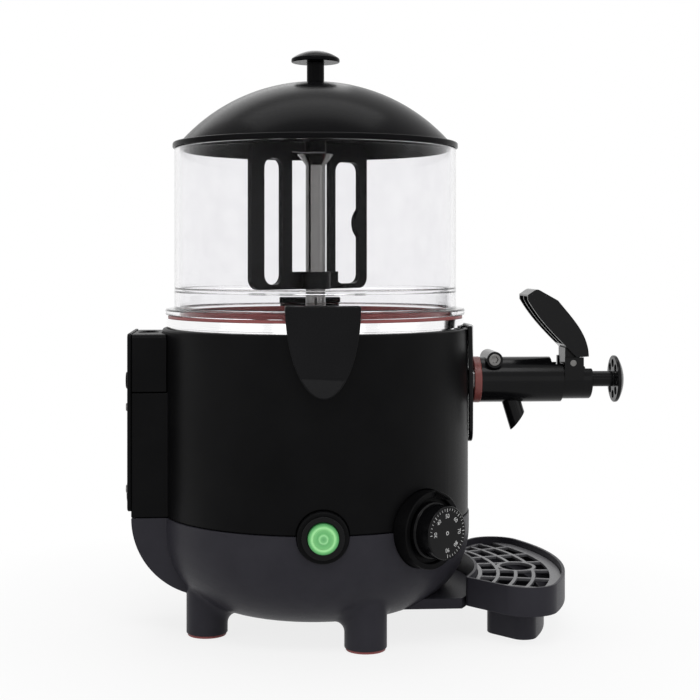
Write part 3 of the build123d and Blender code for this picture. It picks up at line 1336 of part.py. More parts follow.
# Thermostat dial in its collar on the seam
DIAL_BACK = DIAL_COLLAR_FACE - DIAL_DEPTH
with BuildPart() as dial_collar:
    with BuildSketch(radial_plane(DIAL_DEG, DIAL_BACK, SEAM_Z)):
        Circle(DIAL_COLLAR_R)
    extrude(amount=DIAL_DEPTH)
    with BuildSketch(radial_plane(DIAL_DEG, DIAL_COLLAR_FACE, SEAM_Z)):
        Circle(DIAL_WELL_R)
    extrude(amount=-DIAL_WELL_D, mode=Mode.SUBTRACT)
    with BuildSketch(radial_plane(DIAL_DEG, DIAL_COLLAR_FACE, SEAM_Z)):
        with Locations((0, (DIAL_WELL_R + DIAL_COLLAR_R) / 2)):
            Rectangle(DIAL_MARK_W, DIAL_MARK_L)
    extrude(amount=DIAL_MARK_H)
    with BuildSketch(radial_plane(DIAL_DEG, DIAL_BACK, SEAM_Z)):
        Circle(SPINDLE_R + FREE)
    extrude(amount=DIAL_DEPTH, mode=Mode.SUBTRACT)
save(dial_collar, "dial_collar")

DIAL_REAR = DIAL_COLLAR_FACE - DIAL_WELL_D + FREE
with BuildPart() as dial_knob:
    with BuildSketch(radial_plane(DIAL_DEG, DIAL_REAR, SEAM_Z)):
        Circle(DIAL_SKIRT_R)
    extrude(amount=DIAL_SKIRT_H)
    with BuildSketch(radial_plane(DIAL_DEG, DIAL_REAR + DIAL_SKIRT_H, SEAM_Z)):
        Circle(DIAL_R)
    extrude(amount=DIAL_FACE - DIAL_REAR - DIAL_SKIRT_H)
    with BuildSketch(radial_plane(DIAL_DEG, DIAL_REAR, SEAM_Z)):
        Circle(SPINDLE_R)
    extrude(amount=DIAL_FACE - DIAL_REAR - WALL, mode=Mode.SUBTRACT)
save(dial_knob, "dial_knob")

SPINDLE_BACK = DIAL_FACE - WALL - SPINDLE_LEN
with BuildPart() as dial_spindle:
    with BuildSketch(radial_plane(DIAL_DEG, SPINDLE_BACK, SEAM_Z)):
        Circle(SPINDLE_R)
    extrude(amount=SPINDLE_LEN)
save(dial_spindle, "dial_spindle")

with BuildPart() as thermostat_body:
    with BuildSketch(radial_plane(DIAL_DEG, DIAL_BACK, SEAM_Z)):
        RectangleRounded(STAT_SIDE, STAT_SIDE, COL_EDGE)
    extrude(amount=-STAT_DEPTH)
    with BuildSketch(radial_plane(DIAL_DEG, DIAL_BACK, SEAM_Z)):
        Circle(SPINDLE_R + RUN)
    extrude(amount=SPINDLE_BACK - DIAL_BACK - FREE, mode=Mode.SUBTRACT)
save(thermostat_body, "thermostat_body")

# Terminal block on the inside of the column's back wall
with BuildPart() as terminal_block:
    with BuildSketch(back_plane(COL_BACK - WALL, BLOCK_AT_Z)):
        Rectangle(BLOCK_X, BLOCK_Z)
    extrude(amount=-BLOCK_Y)
    # screw wells, two rows facing inwards
    with BuildSketch(back_plane(COL_BACK - WALL - BLOCK_Y, BLOCK_AT_Z)):
        with GridLocations(BLOCK_X / WELL_COUNT, BLOCK_Z / 2, WELL_COUNT, 2):
            Circle(WELL_R)
    extrude(amount=WELL_DEPTH, mode=Mode.SUBTRACT)
save(terminal_block, "terminal_block")

# Drip tray: fan-shaped basin with a lower sump
with BuildPart() as drip_tray:
    with BuildSketch(Plane.XY.offset(TRAY_FLOOR)) as tray_outline:
        Circle(TRAY_OUT_R)
        Circle(TRAY_IN_R, mode=Mode.SUBTRACT)
        Polygon(*wedge_points(2 * TRAY_OUT_R), align=None, mode=Mode.INTERSECT)
        fillet(tray_outline.vertices().group_by(Axis.Y)[0], radius=TRAY_CORNER)
        fillet(tray_outline.vertices().group_by(Axis.Y)[-1], radius=TRAY_BACK_CORNER)
    extrude(amount=TRAY_RIM - TRAY_FLOOR)
    with BuildSketch(Plane.XY.offset(SUMP_BOTTOM)) as sump_outline:
        Circle(TRAY_OUT_R - SUMP_INSET)
        Circle(TRAY_IN_R + SUMP_BACK, mode=Mode.SUBTRACT)
        with Locations((0, -SUMP_INSET)):
            Polygon(*wedge_points(2 * TRAY_OUT_R), align=None, mode=Mode.INTERSECT)
        fillet(sump_outline.vertices(), radius=SUMP_CORNER)
    extrude(amount=TRAY_FLOOR - SUMP_BOTTOM)
    with BuildSketch(Plane.XY.offset(GRATE_TOP - GRATE_T)):
        add(tray_outline.sketch.faces()[0].moved(Location((0, 0, -TRAY_FLOOR))))
        offset(amount=-TRAY_T, kind=Kind.INTERSECTION, mode=Mode.REPLACE)
    extrude(amount=TRAY_RIM - GRATE_TOP + GRATE_T, mode=Mode.SUBTRACT)
    with BuildSketch(Plane.XY.offset(TRAY_FLOOR + TRAY_T)):
        add(tray_outline.sketch.faces()[0].moved(Location((0, 0, -TRAY_FLOOR))))
        offset(amount=-TRAY_T - TRAY_LEDGE, kind=Kind.INTERSECTION, mode=Mode.REPLACE)
    extrude(amount=TRAY_RIM - TRAY_FLOOR - TRAY_T, mode=Mode.SUBTRACT)
    with BuildSketch(Plane.XY.offset(SUMP_BOTTOM + TRAY_T)):
        add(sump_outline.sketch.faces()[0].moved(Location((0, 0, -SUMP_BOTTOM))))
        offset(amount=-TRAY_T, kind=Kind.INTERSECTION, mode=Mode.REPLACE)
    extrude(amount=TRAY_RIM - SUMP_BOTTOM - TRAY_T, mode=Mode.SUBTRACT)
save(drip_tray, "drip_tray")

# Grate: arcs and spokes round an oval eye
with BuildPart() as tray_grate:
    with BuildSketch(Plane.XY.offset(GRATE_TOP - GRATE_T + FREE)):
        add(tray_outline.sketch.faces()[0].moved(Location((0, 0, -TRAY_FLOOR))))
        offset(amount=-TRAY_T - FREE, kind=Kind.INTERSECTION, mode=Mode.REPLACE)
    extrude(amount=GRATE_T - FREE)
    with BuildSketch(Plane.XY.offset(GRATE_TOP - GRATE_T)) as grate_cut:
        for ring in range(GRATE_RINGS):
            ring_r = TRAY_OUT_R - 2 * TRAY_T - TRAY_LEDGE - GRATE_RIM - ring * GRATE_PITCH
            Circle(ring_r)
            Circle(ring_r - GRATE_PITCH + GRATE_RIB, mode=Mode.SUBTRACT)
        for spoke in range(GRATE_SPOKES):
            turn = (spoke - (GRATE_SPOKES - 1) / 2) * GRATE_SPOKE_DEG
            with Locations(Location((0, 0, 0), (0, 0, turn))):
                with Locations((0, -GRATE_EYE_R)):
                    Rectangle(GRATE_RIB, TRAY_OUT_R, mode=Mode.SUBTRACT)
        with Locations((0, -GRATE_EYE_R)):
            Ellipse(GRATE_EYE_X + GRATE_RIB, GRATE_EYE_Y + GRATE_RIB, mode=Mode.SUBTRACT)
            Ellipse(GRATE_EYE_X, GRATE_EYE_Y)
        with Locations((0, -2 * TRAY_T - TRAY_LEDGE)):
            Polygon(*wedge_points(2 * TRAY_OUT_R), align=None, mode=Mode.INTERSECT)
    extrude(amount=2 * GRATE_T, mode=Mode.SUBTRACT)
save(tray_grate, "tray_grate")

# Tray arm: a shelf against the casing's round and a tongue that carries the tray
SHELF_BOTTOM = TRAY_FLOOR + SHELF_RISE - SHELF_T
with BuildPart() as tray_arm:
    with BuildSketch(Plane.XY.offset(SHELF_BOTTOM)):
        Circle(SHELF_R)
        with Locations((0, -SHELF_R)):
            Rectangle(2 * SHELF_HALF, 2 * (SHELF_R - LEG_R), mode=Mode.INTERSECT)
    extrude(amount=SHELF_T)
    with BuildSketch(Plane.XZ):
        with BuildLine():
            Polyline((0, SEAM_Z), (0, BASE_BOTTOM - TOUCH), (BASE_FLAT_R, BASE_BOTTOM - TOUCH))
            RadiusArc((BASE_FLAT_R, BASE_BOTTOM - TOUCH), (BASE_R + TOUCH, BASE_SIDE_Z), -BASE_ROUND - TOUCH)
            Polyline((BASE_R + TOUCH, BASE_SIDE_Z), (BASE_R + TOUCH, SEAM_Z), (0, SEAM_Z))
        make_face()
    revolve(axis=Axis.Z, mode=Mode.SUBTRACT)
    with BuildSketch(Plane.XY.offset(TRAY_FLOOR - FREE - ARM_T)):
        with Locations((0, -(ARM_BACK + ARM_FRONT) / 2)):
            RectangleRounded(2 * ARM_HALF, ARM_FRONT - ARM_BACK, COL_EDGE)
    extrude(amount=ARM_T)
save(tray_arm, "tray_arm")
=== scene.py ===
import json
import math

import bmesh
import bpy
from mathutils import Matrix, Vector


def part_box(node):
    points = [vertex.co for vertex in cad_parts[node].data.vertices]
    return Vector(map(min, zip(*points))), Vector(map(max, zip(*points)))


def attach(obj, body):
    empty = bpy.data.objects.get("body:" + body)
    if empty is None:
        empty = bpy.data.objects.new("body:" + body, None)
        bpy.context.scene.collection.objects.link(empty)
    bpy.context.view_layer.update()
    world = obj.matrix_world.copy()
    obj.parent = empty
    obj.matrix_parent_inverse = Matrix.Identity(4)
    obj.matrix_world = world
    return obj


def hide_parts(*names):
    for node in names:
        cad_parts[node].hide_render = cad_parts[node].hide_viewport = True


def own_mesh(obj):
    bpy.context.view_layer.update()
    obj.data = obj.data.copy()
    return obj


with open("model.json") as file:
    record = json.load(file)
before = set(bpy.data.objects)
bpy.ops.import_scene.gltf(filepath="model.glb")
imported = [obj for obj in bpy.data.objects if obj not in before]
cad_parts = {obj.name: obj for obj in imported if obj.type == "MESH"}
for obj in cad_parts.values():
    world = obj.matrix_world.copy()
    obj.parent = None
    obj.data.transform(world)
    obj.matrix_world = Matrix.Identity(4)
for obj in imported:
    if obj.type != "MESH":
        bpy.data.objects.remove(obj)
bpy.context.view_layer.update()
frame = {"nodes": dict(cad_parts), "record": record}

NODES = frame["nodes"]
BODIES = frame["record"]["behaviour"]["bodies"]
BODY_OF = {node: body for body, nodes in BODIES.items() for node in nodes}
MM = 0.001
WHITE = (1.0, 1.0, 1.0, 1.0)

# Materials: colours are linear, noise scales are per metre and depths are in metres

NOISE_LOW = 0.3
NOISE_HIGH = 0.7
DRIFT_SCALE = 22.0
PLASTIC_BUMP = 0.35
METAL_BUMP = 0.15

PLASTICS = {
    "casing_black": {
        "dark": (0.0024, 0.0024, 0.0027), "light": (0.0042, 0.0042, 0.0046),
        "rough": 0.38, "spread": 0.06, "grain": 1100.0, "depth": 0.00010, "specular": 0.05,
    },
    # Black plastic drawn lighter and bluish than the upper casing: a painted reflection of the white floor,
    # used on the lower casing, drip tray and tray arm
    "casing_painted_sheen": {
        "dark": (0.0250, 0.0240, 0.0305), "light": (0.0330, 0.0318, 0.0395),
        "rough": 0.42, "spread": 0.06, "grain": 900.0, "depth": 0.00008, "specular": 0.10,
    },
    "gloss_black": {
        "dark": (0.0032, 0.0032, 0.0036), "light": (0.0050, 0.0050, 0.0056),
        "rough": 0.17, "spread": 0.03, "grain": 420.0, "depth": 0.00002, "specular": 0.12,
    },
    "lid_black": {
        "dark": (0.0026, 0.0026, 0.0030), "light": (0.0040, 0.0040, 0.0046),
        "rough": 0.22, "spread": 0.04, "grain": 420.0, "depth": 0.00002, "specular": 0.03,
    },
    "paddle_black": {
        "dark": (0.0034, 0.0034, 0.0039), "light": (0.0054, 0.0054, 0.0062),
        "rough": 0.30, "spread": 0.05, "grain": 500.0, "depth": 0.00003, "specular": 0.07,
    },
    "grate_grey": {
        "dark": (0.105, 0.104, 0.112), "light": (0.135, 0.134, 0.143),
        "rough": 0.36, "spread": 0.06, "grain": 800.0, "depth": 0.00005, "specular": 0.5,
    },
    "inner_plastic": {
        "dark": (0.60, 0.59, 0.55), "light": (0.70, 0.69, 0.65),
        "rough": 0.45, "spread": 0.08, "grain": 500.0, "depth": 0.0001, "specular": 0.4,
    },
    "silicone_red": {
        "dark": (0.27, 0.068, 0.068), "light": (0.34, 0.088, 0.084),
        "rough": 0.42, "spread": 0.07, "grain": 600.0, "depth": 0.0001, "specular": 0.4,
    },
    "seal_red": {
        "dark": (0.150, 0.034, 0.030), "light": (0.205, 0.050, 0.044),
        "rough": 0.38, "spread": 0.07, "grain": 600.0, "depth": 0.0001, "specular": 0.4,
    },
    "print_white": {
        "dark": (0.62, 0.62, 0.62), "light": (0.74, 0.74, 0.73),
        "rough": 0.5, "spread": 0.05, "grain": 900.0, "depth": 0.00004, "specular": 0.3,
    },
}

METALS = {
    "stainless": {
        "dark": (0.88, 0.88, 0.89), "light": (0.96, 0.96, 0.96),
        "rough": 0.11, "spread": 0.04, "stretch": (1.0, 1.0, 30.0), "grain": 60.0, "depth": 0.00002,
    },
    "chrome_steel": {
        "dark": (0.74, 0.74, 0.76), "light": (0.82, 0.82, 0.84),
        "rough": 0.08, "spread": 0.03, "stretch": (12.0, 12.0, 1.0), "grain": 220.0, "depth": 0.00001,
    },
    # Steel darkened in its colour: on the centre tube and clamp screw this is a painted dark reflection of
    # the surroundings, on the lever pin and cover screws it stands for blackened steel
    "blackened_steel_and_painted_reflection": {
        "dark": (0.10, 0.098, 0.095), "light": (0.16, 0.157, 0.153),
        "rough": 0.07, "spread": 0.03, "stretch": (12.0, 12.0, 1.0), "grain": 160.0, "depth": 0.00001,
    },
    "plated_steel": {
        "dark": (0.46, 0.47, 0.49), "light": (0.58, 0.59, 0.61),
        "rough": 0.32, "spread": 0.08, "stretch": (1.0, 1.0, 1.0), "grain": 300.0, "depth": 0.00004,
    },
    "heater_alloy": {
        "dark": (0.54, 0.55, 0.57), "light": (0.66, 0.67, 0.69),
        "rough": 0.4, "spread": 0.1, "stretch": (1.0, 1.0, 1.0), "grain": 400.0, "depth": 0.00008,
    },
    "spindle_steel": {
        "dark": (0.5, 0.5, 0.52), "light": (0.62, 0.62, 0.64),
        "rough": 0.28, "spread": 0.07, "stretch": (20.0, 20.0, 1.0), "grain": 200.0, "depth": 0.00003,
    },
}

CLEAR_DARK = (0.905, 0.902, 0.915)
CLEAR_LIGHT = (0.940, 0.938, 0.948)
CLEAR_HAZE = 60.0
CLEAR_ROUGH = 0.03
CLEAR_IOR = 1.45
# Near-black tint of the bowl's reflections: painted shade that keeps the white surroundings out of its
# gloss
CLEAR_REFLECTION_SHADE = (0.06, 0.06, 0.06, 1.0)

LENS_R = 11.25 * MM
LENS_GRAIN = 700.0
LENS_ROUGH_LOW = 0.16
LENS_ROUGH_HIGH = 0.28
LENS_GLOW = 0.2
LENS_RINGS = (
    (0.0, (0.10, 0.36, 0.12)),
    (0.16, (0.14, 0.46, 0.16)),
    (0.27, (0.30, 0.70, 0.30)),
    (0.38, (0.11, 0.42, 0.13)),
    (0.60, (0.16, 0.50, 0.17)),
    (0.74, (0.36, 0.80, 0.34)),
    (0.86, (0.13, 0.48, 0.15)),
    (1.0, (0.03, 0.20, 0.05)),
)


def new_material(name):
    mat = bpy.data.materials.new(name)
    mat.use_nodes = True
    tree = mat.node_tree
    shader = tree.nodes["Principled BSDF"]
    return mat, tree, shader


def coords(tree, scale=(1.0, 1.0, 1.0)):
    where = tree.nodes.new("ShaderNodeTexCoord")
    mapping = tree.nodes.new("ShaderNodeMapping")
    mapping.inputs["Scale"].default_value = scale
    tree.links.new(where.outputs["Object"], mapping.inputs["Vector"])
    return mapping.outputs["Vector"]


def noise(tree, vector, scale, detail=3.0, rough=0.55):
    node = tree.nodes.new("ShaderNodeTexNoise")
    node.inputs["Scale"].default_value = scale
    node.inputs["Detail"].default_value = detail
    node.inputs["Roughness"].default_value = rough
    tree.links.new(vector, node.inputs["Vector"])
    return node.outputs["Fac"]


def span(tree, value, low, high, start=NOISE_LOW, end=NOISE_HIGH):
    node = tree.nodes.new("ShaderNodeMapRange")
    node.inputs["From Min"].default_value = start
    node.inputs["From Max"].default_value = end
    node.inputs["To Min"].default_value = low
    node.inputs["To Max"].default_value = high
    tree.links.new(value, node.inputs["Value"])
    return node.outputs["Result"]


def two_tone(tree, value, dark, light):
    node = tree.nodes.new("ShaderNodeValToRGB")
    node.color_ramp.elements[0].position = NOISE_LOW
    node.color_ramp.elements[1].position = NOISE_HIGH
    node.color_ramp.elements[0].color = (*dark, 1.0)
    node.color_ramp.elements[1].color = (*light, 1.0)
    tree.links.new(value, node.inputs["Fac"])
    return node.outputs["Color"]


def vector_step(tree, operation, source, other=None):
    """One vector operation on source, with a fixed second vector where it takes one."""
    node = tree.nodes.new("ShaderNodeVectorMath")
    node.operation = operation
    tree.links.new(source, node.inputs[0])
    if other is not None:
        node.inputs[1].default_value = other
    return node.outputs["Value" if operation == "LENGTH" else "Vector"]


def bump(tree, shader, height, strength, distance):
    node = tree.nodes.new("ShaderNodeBump")
    node.inputs["Strength"].default_value = strength
    node.inputs["Distance"].default_value = distance
    tree.links.new(height, node.inputs["Height"])
    tree.links.new(node.outputs["Normal"], shader.inputs["Normal"])


def plastic(name, dark, light, rough, spread, grain, depth, specular):
    """Moulded plastic: its tone drifts, its gloss varies, and a fine grain stands in the surface."""
    mat, tree, shader = new_material(name)
    vector = coords(tree)
    broad = noise(tree, vector, DRIFT_SCALE, detail=4.0)
    fine = noise(tree, vector, grain, rough=0.6)
    tree.links.new(two_tone(tree, broad, dark, light), shader.inputs["Base Color"])
    tree.links.new(span(tree, fine, rough - spread, rough + spread), shader.inputs["Roughness"])
    bump(tree, shader, fine, PLASTIC_BUMP, depth)
    shader.inputs["Specular IOR Level"].default_value = specular
    return mat


def metal(name, dark, light, rough, spread, stretch, grain, depth):
    """Metal: brushing or fine scratches run along the axes that are scaled least."""
    mat, tree, shader = new_material(name)
    lines = noise(tree, coords(tree, stretch), grain, detail=4.0, rough=0.65)
    tree.links.new(two_tone(tree, lines, dark, light), shader.inputs["Base Color"])
    tree.links.new(span(tree, lines, rough - spread, rough + spread), shader.inputs["Roughness"])
    bump(tree, shader, lines, METAL_BUMP, depth)
    shader.inputs["Metallic"].default_value = 1.0
    return mat


def clear_plastic():
    """Clear bowl: a faint haze in its tone and gloss, and its reflections tinted nearly black as painted
    shade.
    """
    mat, tree, shader = new_material("clear_plastic")
    haze = noise(tree, coords(tree), CLEAR_HAZE, detail=4.0)
    tree.links.new(two_tone(tree, haze, CLEAR_DARK, CLEAR_LIGHT), shader.inputs["Base Color"])
    tree.links.new(span(tree, haze, 0.0, CLEAR_ROUGH), shader.inputs["Roughness"])
    shader.inputs["Transmission Weight"].default_value = 1.0
    shader.inputs["IOR"].default_value = CLEAR_IOR
    shader.inputs["Specular Tint"].default_value = CLEAR_REFLECTION_SHADE
    return mat


def lens_green():
    """Lit lens: rings of lighter and darker green round the button's own axis."""
    mat, tree, shader = new_material("lens_green")
    low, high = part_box("power_button")
    centre = (Vector(low) + Vector(high)) / 2
    where = tree.nodes.new("ShaderNodeTexCoord").outputs["Object"]
    offset = vector_step(tree, "SUBTRACT", where, centre)
    across = vector_step(tree, "MULTIPLY", offset, (0.0, 1.0, 1.0))
    reach = span(tree, vector_step(tree, "LENGTH", across), 0.0, 1.0, 0.0, LENS_R)
    ramp = tree.nodes.new("ShaderNodeValToRGB")
    tree.links.new(reach, ramp.inputs["Fac"])
    elements = ramp.color_ramp.elements
    while len(elements) < len(LENS_RINGS):
        elements.new(0.5)
    for element, (place, colour) in zip(elements, LENS_RINGS):
        element.position = place
        element.color = (*colour, 1.0)
    tree.links.new(ramp.outputs["Color"], shader.inputs["Base Color"])
    tree.links.new(ramp.outputs["Color"], shader.inputs["Emission Color"])
    shader.inputs["Emission Strength"].default_value = LENS_GLOW
    fine = noise(tree, coords(tree), LENS_GRAIN)
    tree.links.new(span(tree, fine, LENS_ROUGH_LOW, LENS_ROUGH_HIGH), shader.inputs["Roughness"])
    return mat


MAT = {name: plastic(name, **look) for name, look in PLASTICS.items()}
MAT.update({name: metal(name, **look) for name, look in METALS.items()})
MAT["clear_plastic"] = clear_plastic()
MAT["lens_green"] = lens_green()

# The record's material slot of each node, and the nodes that look a little different within their slot

SLOTS = {
    "casing_black": "lower_casing upper_casing column_cap column_cover switch_collar dial_collar reset_cap "
    "cord_gland tray_arm",
    "gloss_black": "tap_body tap_end_cap tap_lever lid lid_knob pull_knob handle_left handle_right "
    "front_shield drip_tray switch_bezel dial_knob",
    "paddle_black": "paddle",
    "grate_grey": "tray_grate",
    "stainless": "pot outlet_tube water_bath",
    "chrome_steel": "centre_tube drive_shaft clamp_screw lever_pin valve_rod cover_screws lid_screw",
    "plated_steel": "motor_bracket drive_coupling heater_ring thermostat_bulb valve_spring",
    "heater_alloy": "heater_plate gear_case motor_can",
    "silicone_red": "foot_pads bowl_gasket tap_seal piston_rings",
    "clear_plastic": "clear_bowl",
    "lens_green": "power_button",
    "inner_plastic": "shaft_bush switch_body thermostat_body terminal_block thermal_cutout spring_seat "
    "valve_piston",
    "spindle_steel": "dial_spindle",
}
OTHER_LOOKS = {
    # Lower casing, drip tray and tray arm: black plastic with a painted floor reflection in its colour
    "casing_painted_sheen": "lower_casing drip_tray tray_arm",
    "lid_black": "lid lid_knob",
    # Centre tube and clamp screw darkened as a painted reflection; lever pin and cover screws as blackened
    # steel
    "blackened_steel_and_painted_reflection": "centre_tube clamp_screw lever_pin cover_screws",
    "seal_red": "tap_seal",
    "paddle_black": "handle_left handle_right",
}
SLOT_OF = {node: slot for slot, nodes in SLOTS.items() for node in nodes.split()}
OTHER_LOOK = {node: look for look, nodes in OTHER_LOOKS.items() for node in nodes.split()}

# Shapes

SMOOTH_DEG = 32.0
FLAT_DEG = 0.6
EDGE_STEPS = 3
CORNER_STEPS = 5
DOME_STEPS = 40
WELD = 2e-6
LATHE_WELD = 1e-7
LATHE_THIN = 1e-8
# Pieces with so little room in them or round them that their rounding stays small
TIGHT = ("tap_body", "tap_end_cap", "tap_lever", "tray_arm", "drip_tray", "paddle")


def finish_mesh(mesh):
    mesh.polygons.foreach_set("use_smooth", [True] * len(mesh.polygons))
    mesh.set_sharp_from_angle(angle=math.radians(SMOOTH_DEG))


def add_piece(name, mesh, node, replace=True, material=None):
    """Puts a mesh in the scene on the node's body, with the node's slot and look."""
    obj = bpy.data.objects.new(name, mesh)
    bpy.context.scene.collection.objects.link(obj)
    slot = SLOT_OF[node]
    mesh.materials.clear()
    mesh.materials.append(MAT[material or OTHER_LOOK.get(node, slot)])
    weighted = obj.modifiers.new("even_normals", "WEIGHTED_NORMAL")
    weighted.keep_sharp = True
    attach(obj, BODY_OF[node])
    if replace:
        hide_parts(node)
    return obj


def dressed(node, width):
    """The node's own shape with its sharp edges rounded."""
    work = bmesh.new()
    work.from_mesh(NODES[node].data)
    bmesh.ops.remove_doubles(work, verts=work.verts, dist=WELD)
    bmesh.ops.dissolve_limit(
        work, angle_limit=math.radians(FLAT_DEG), use_dissolve_boundaries=False,
        verts=work.verts, edges=work.edges,
    )
    limit = math.radians(SMOOTH_DEG)
    sharp = [edge for edge in work.edges if len(edge.link_faces) == 2 and edge.calc_face_angle() > limit]
    bmesh.ops.bevel(
        work, geom=sharp, offset=width, offset_type="OFFSET", segments=EDGE_STEPS, profile=0.5,
        affect="EDGES", clamp_overlap=node in TIGHT,
    )
    mesh = bpy.data.meshes.new(node + "_skin")
    work.to_mesh(mesh)
    work.free()
    finish_mesh(mesh)
    return add_piece(node + "_skin", mesh, node)


def rounded(corners):
    """Turns each corner (a, b, radius) of a closed outline into an arc."""
    out = []
    count = len(corners)
    for i in range(count):
        here = Vector(corners[i][:2])
        radius = corners[i][2]
        to_a = (Vector(corners[i - 1][:2]) - here).normalized()
        to_b = (Vector(corners[(i + 1) % count][:2]) - here).normalized()
        half = math.acos(max(-1.0, min(1.0, to_a.dot(to_b)))) / 2
        reach = radius / math.tan(half)
        middle = here + (to_a + to_b).normalized() * (radius / math.sin(half))
        start = here + to_a * reach - middle
        end = here + to_b * reach - middle
        turn = start.angle_signed(end)
        for k in range(CORNER_STEPS + 1):
            out.append(middle + Matrix.Rotation(-turn * k / CORNER_STEPS, 2) @ start)
    return out


def arc(start, end, radius):
    """Points on a circle of that radius from start to end; a positive radius bends to the left."""
    a, b = Vector(start), Vector(end)
    chord = b - a
    side = Vector((-chord.y, chord.x)).normalized()
    rise = math.sqrt(radius * radius - chord.length_squared / 4)
    middle = (a + b) / 2 + side * (rise if radius > 0 else -rise)
    first, last = a - middle, b - middle
    turn = first.angle_signed(last)
    return [middle + Matrix.Rotation(-turn * k / DOME_STEPS, 2) @ first for k in range(DOME_STEPS + 1)]


def turned(work, outline, segments):
    """Turns a closed outline of (radius, height) round the Z axis."""
    rings = []
    for k in range(segments):
        angle = 2 * math.pi * k / segments
        c, s = math.cos(angle), math.sin(angle)
        rings.append([work.verts.new((r * c, r * s, z)) for r, z in outline])
    for k in range(segments):
        ring, after = rings[k], rings[(k + 1) % segments]
        for i in range(len(outline)):
            j = (i + 1) % len(outline)
            work.faces.new((ring[i], after[i], after[j], ring[j]))


def lathe(name, node, outline, segments):
    """A round piece from a closed outline of (radius, height) in millimetres."""
    work = bmesh.new()
    turned(work, [(r * MM, z * MM) for r, z in outline], segments)
    bmesh.ops.remove_doubles(work, verts=work.verts, dist=LATHE_WELD)
    bmesh.ops.dissolve_degenerate(work, dist=LATHE_THIN, edges=work.edges)
    bmesh.ops.recalc_face_normals(work, faces=work.faces)
    mesh = bpy.data.meshes.new(name)
    work.to_mesh(mesh)
    work.free()
    finish_mesh(mesh)
    return add_piece(name, mesh, node)


for node, obj in NODES.items():
    obj.data.materials.clear()
    obj.data.materials.append(MAT[OTHER_LOOK.get(node, SLOT_OF[node])])

# Clear bowl and lid: radii and heights in millimetres, and the rounding of each corner
BOWL_SIDES = 224
BOWL_IN_R = 109.0
BOWL_OUT_R = 113.0
BOWL_TOP = 380.0
FLANGE_R = 120.0
FLANGE_LOW = 247.5
FLANGE_TOP = 252.5
BEAD_R = 107.5
BEAD_LOW = 266.0
BEAD_TOP = 268.5
BOWL_OUTLINE = (
    (BOWL_IN_R, FLANGE_LOW, 0.6),
    (FLANGE_R, FLANGE_LOW, 1.2),
    (FLANGE_R, FLANGE_TOP, 1.6),
    (BOWL_OUT_R, FLANGE_TOP, 1.8),
    (BOWL_OUT_R, BOWL_TOP, 1.0),
    (BOWL_IN_R, BOWL_TOP, 1.0),
    (BOWL_IN_R, BEAD_TOP, 0.8),
    (BEAD_R, BEAD_TOP, 0.7),
    (BEAD_R, BEAD_LOW, 0.7),
    (BOWL_IN_R, BEAD_LOW, 0.8),
)
lathe("clear_bowl_shell", "clear_bowl", rounded(BOWL_OUTLINE), BOWL_SIDES)

LID_SIDES = 200
LID_T = 3.0
LID_HOLE_R = 3.0
SKIRT_IN_R = 105.0
SKIRT_OUT_R = 108.0
SKIRT_LOW = 377.8
BRIM_R = 114.5
BRIM_LOW = 380.3
BRIM_TOP = 384.8
BRIM_INNER_R = 109.3
DOME_R = 108.5
DOME_FLAT_R = 8.0
DOME_TOP = 434.0
DOME_CURVE = 144.0
BRIM_OUTLINE = (
    (SKIRT_IN_R, SKIRT_LOW, 0.8),
    (SKIRT_OUT_R, SKIRT_LOW, 0.8),
    (SKIRT_OUT_R, BRIM_LOW, 0.6),
    (BRIM_R, BRIM_LOW, 0.9),
    (BRIM_R, BRIM_TOP, 1.5),
    (BRIM_INNER_R, BRIM_TOP, 1.2),
)
dome = arc((DOME_R, BRIM_TOP), (DOME_FLAT_R, DOME_TOP), DOME_CURVE)
hole = [Vector((LID_HOLE_R, DOME_TOP)), Vector((LID_HOLE_R, DOME_TOP - LID_T))]
under = arc((DOME_FLAT_R, DOME_TOP - LID_T), (SKIRT_IN_R, BRIM_TOP - LID_T), LID_T - DOME_CURVE)
lathe("lid_dome", "lid", rounded(BRIM_OUTLINE) + dome + hole + under, LID_SIDES)

# The other pieces that show: how far their sharp edges are rounded, in millimetres
EDGE_ROUND = {
    "upper_casing": 0.9, "lower_casing": 0.6, "column_cap": 1.0, "column_cover": 0.5, "cover_screws": 0.4,
    "cord_gland": 0.5, "reset_cap": 0.4, "foot_pads": 0.7, "switch_collar": 0.7, "switch_bezel": 0.6,
    "dial_collar": 0.9, "tray_arm": 1.0, "handle_left": 1.2, "handle_right": 1.2, "front_shield": 1.0,
    "tap_seal": 0.8, "tap_body": 0.8, "clamp_screw": 0.3, "tap_end_cap": 0.5, "tap_lever": 1.0,
    "pull_knob": 0.7, "drip_tray": 0.9, "tray_grate": 0.6, "dial_knob": 0.9, "paddle": 0.6, "lid_knob": 0.9,
    "power_button": 0.3, "bowl_gasket": 0.6, "centre_tube": 0.2,
}
for node, width in EDGE_ROUND.items():
    dressed(node, width * MM)

# The valve's spring, which shortens towards its seat as the piston comes forward, gets a mesh of its own
SPRING_ROUND = 0.1 * MM
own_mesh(dressed("valve_spring", SPRING_ROUND))

# Printed scale on the dial: seven figures clockwise from the left, with finer ticks outside them
DIAL_DEG = 51.0
PRINT_T = 0.06 * MM
TICKS = 31
TICK_DEG = 9.0
FIRST_DEG = 180.0
FIGURE_EVERY = 5
FIRST_FIGURE = 30
TICK_WORTH = 2
LONG_TICK_IN = 15.6 * MM
LONG_TICK_HALF = 0.22 * MM
SHORT_TICK_IN = 16.4 * MM
SHORT_TICK_HALF = 0.15 * MM
TICK_OUT = 18.1 * MM
FIGURE_R = 12.4 * MM
FIGURE_SIZE = 4.3 * MM
FIGURE_STEPS = 4
RING_IN = 0.9 * MM
RING_OUT = 1.5 * MM
RING_SIDES = 16


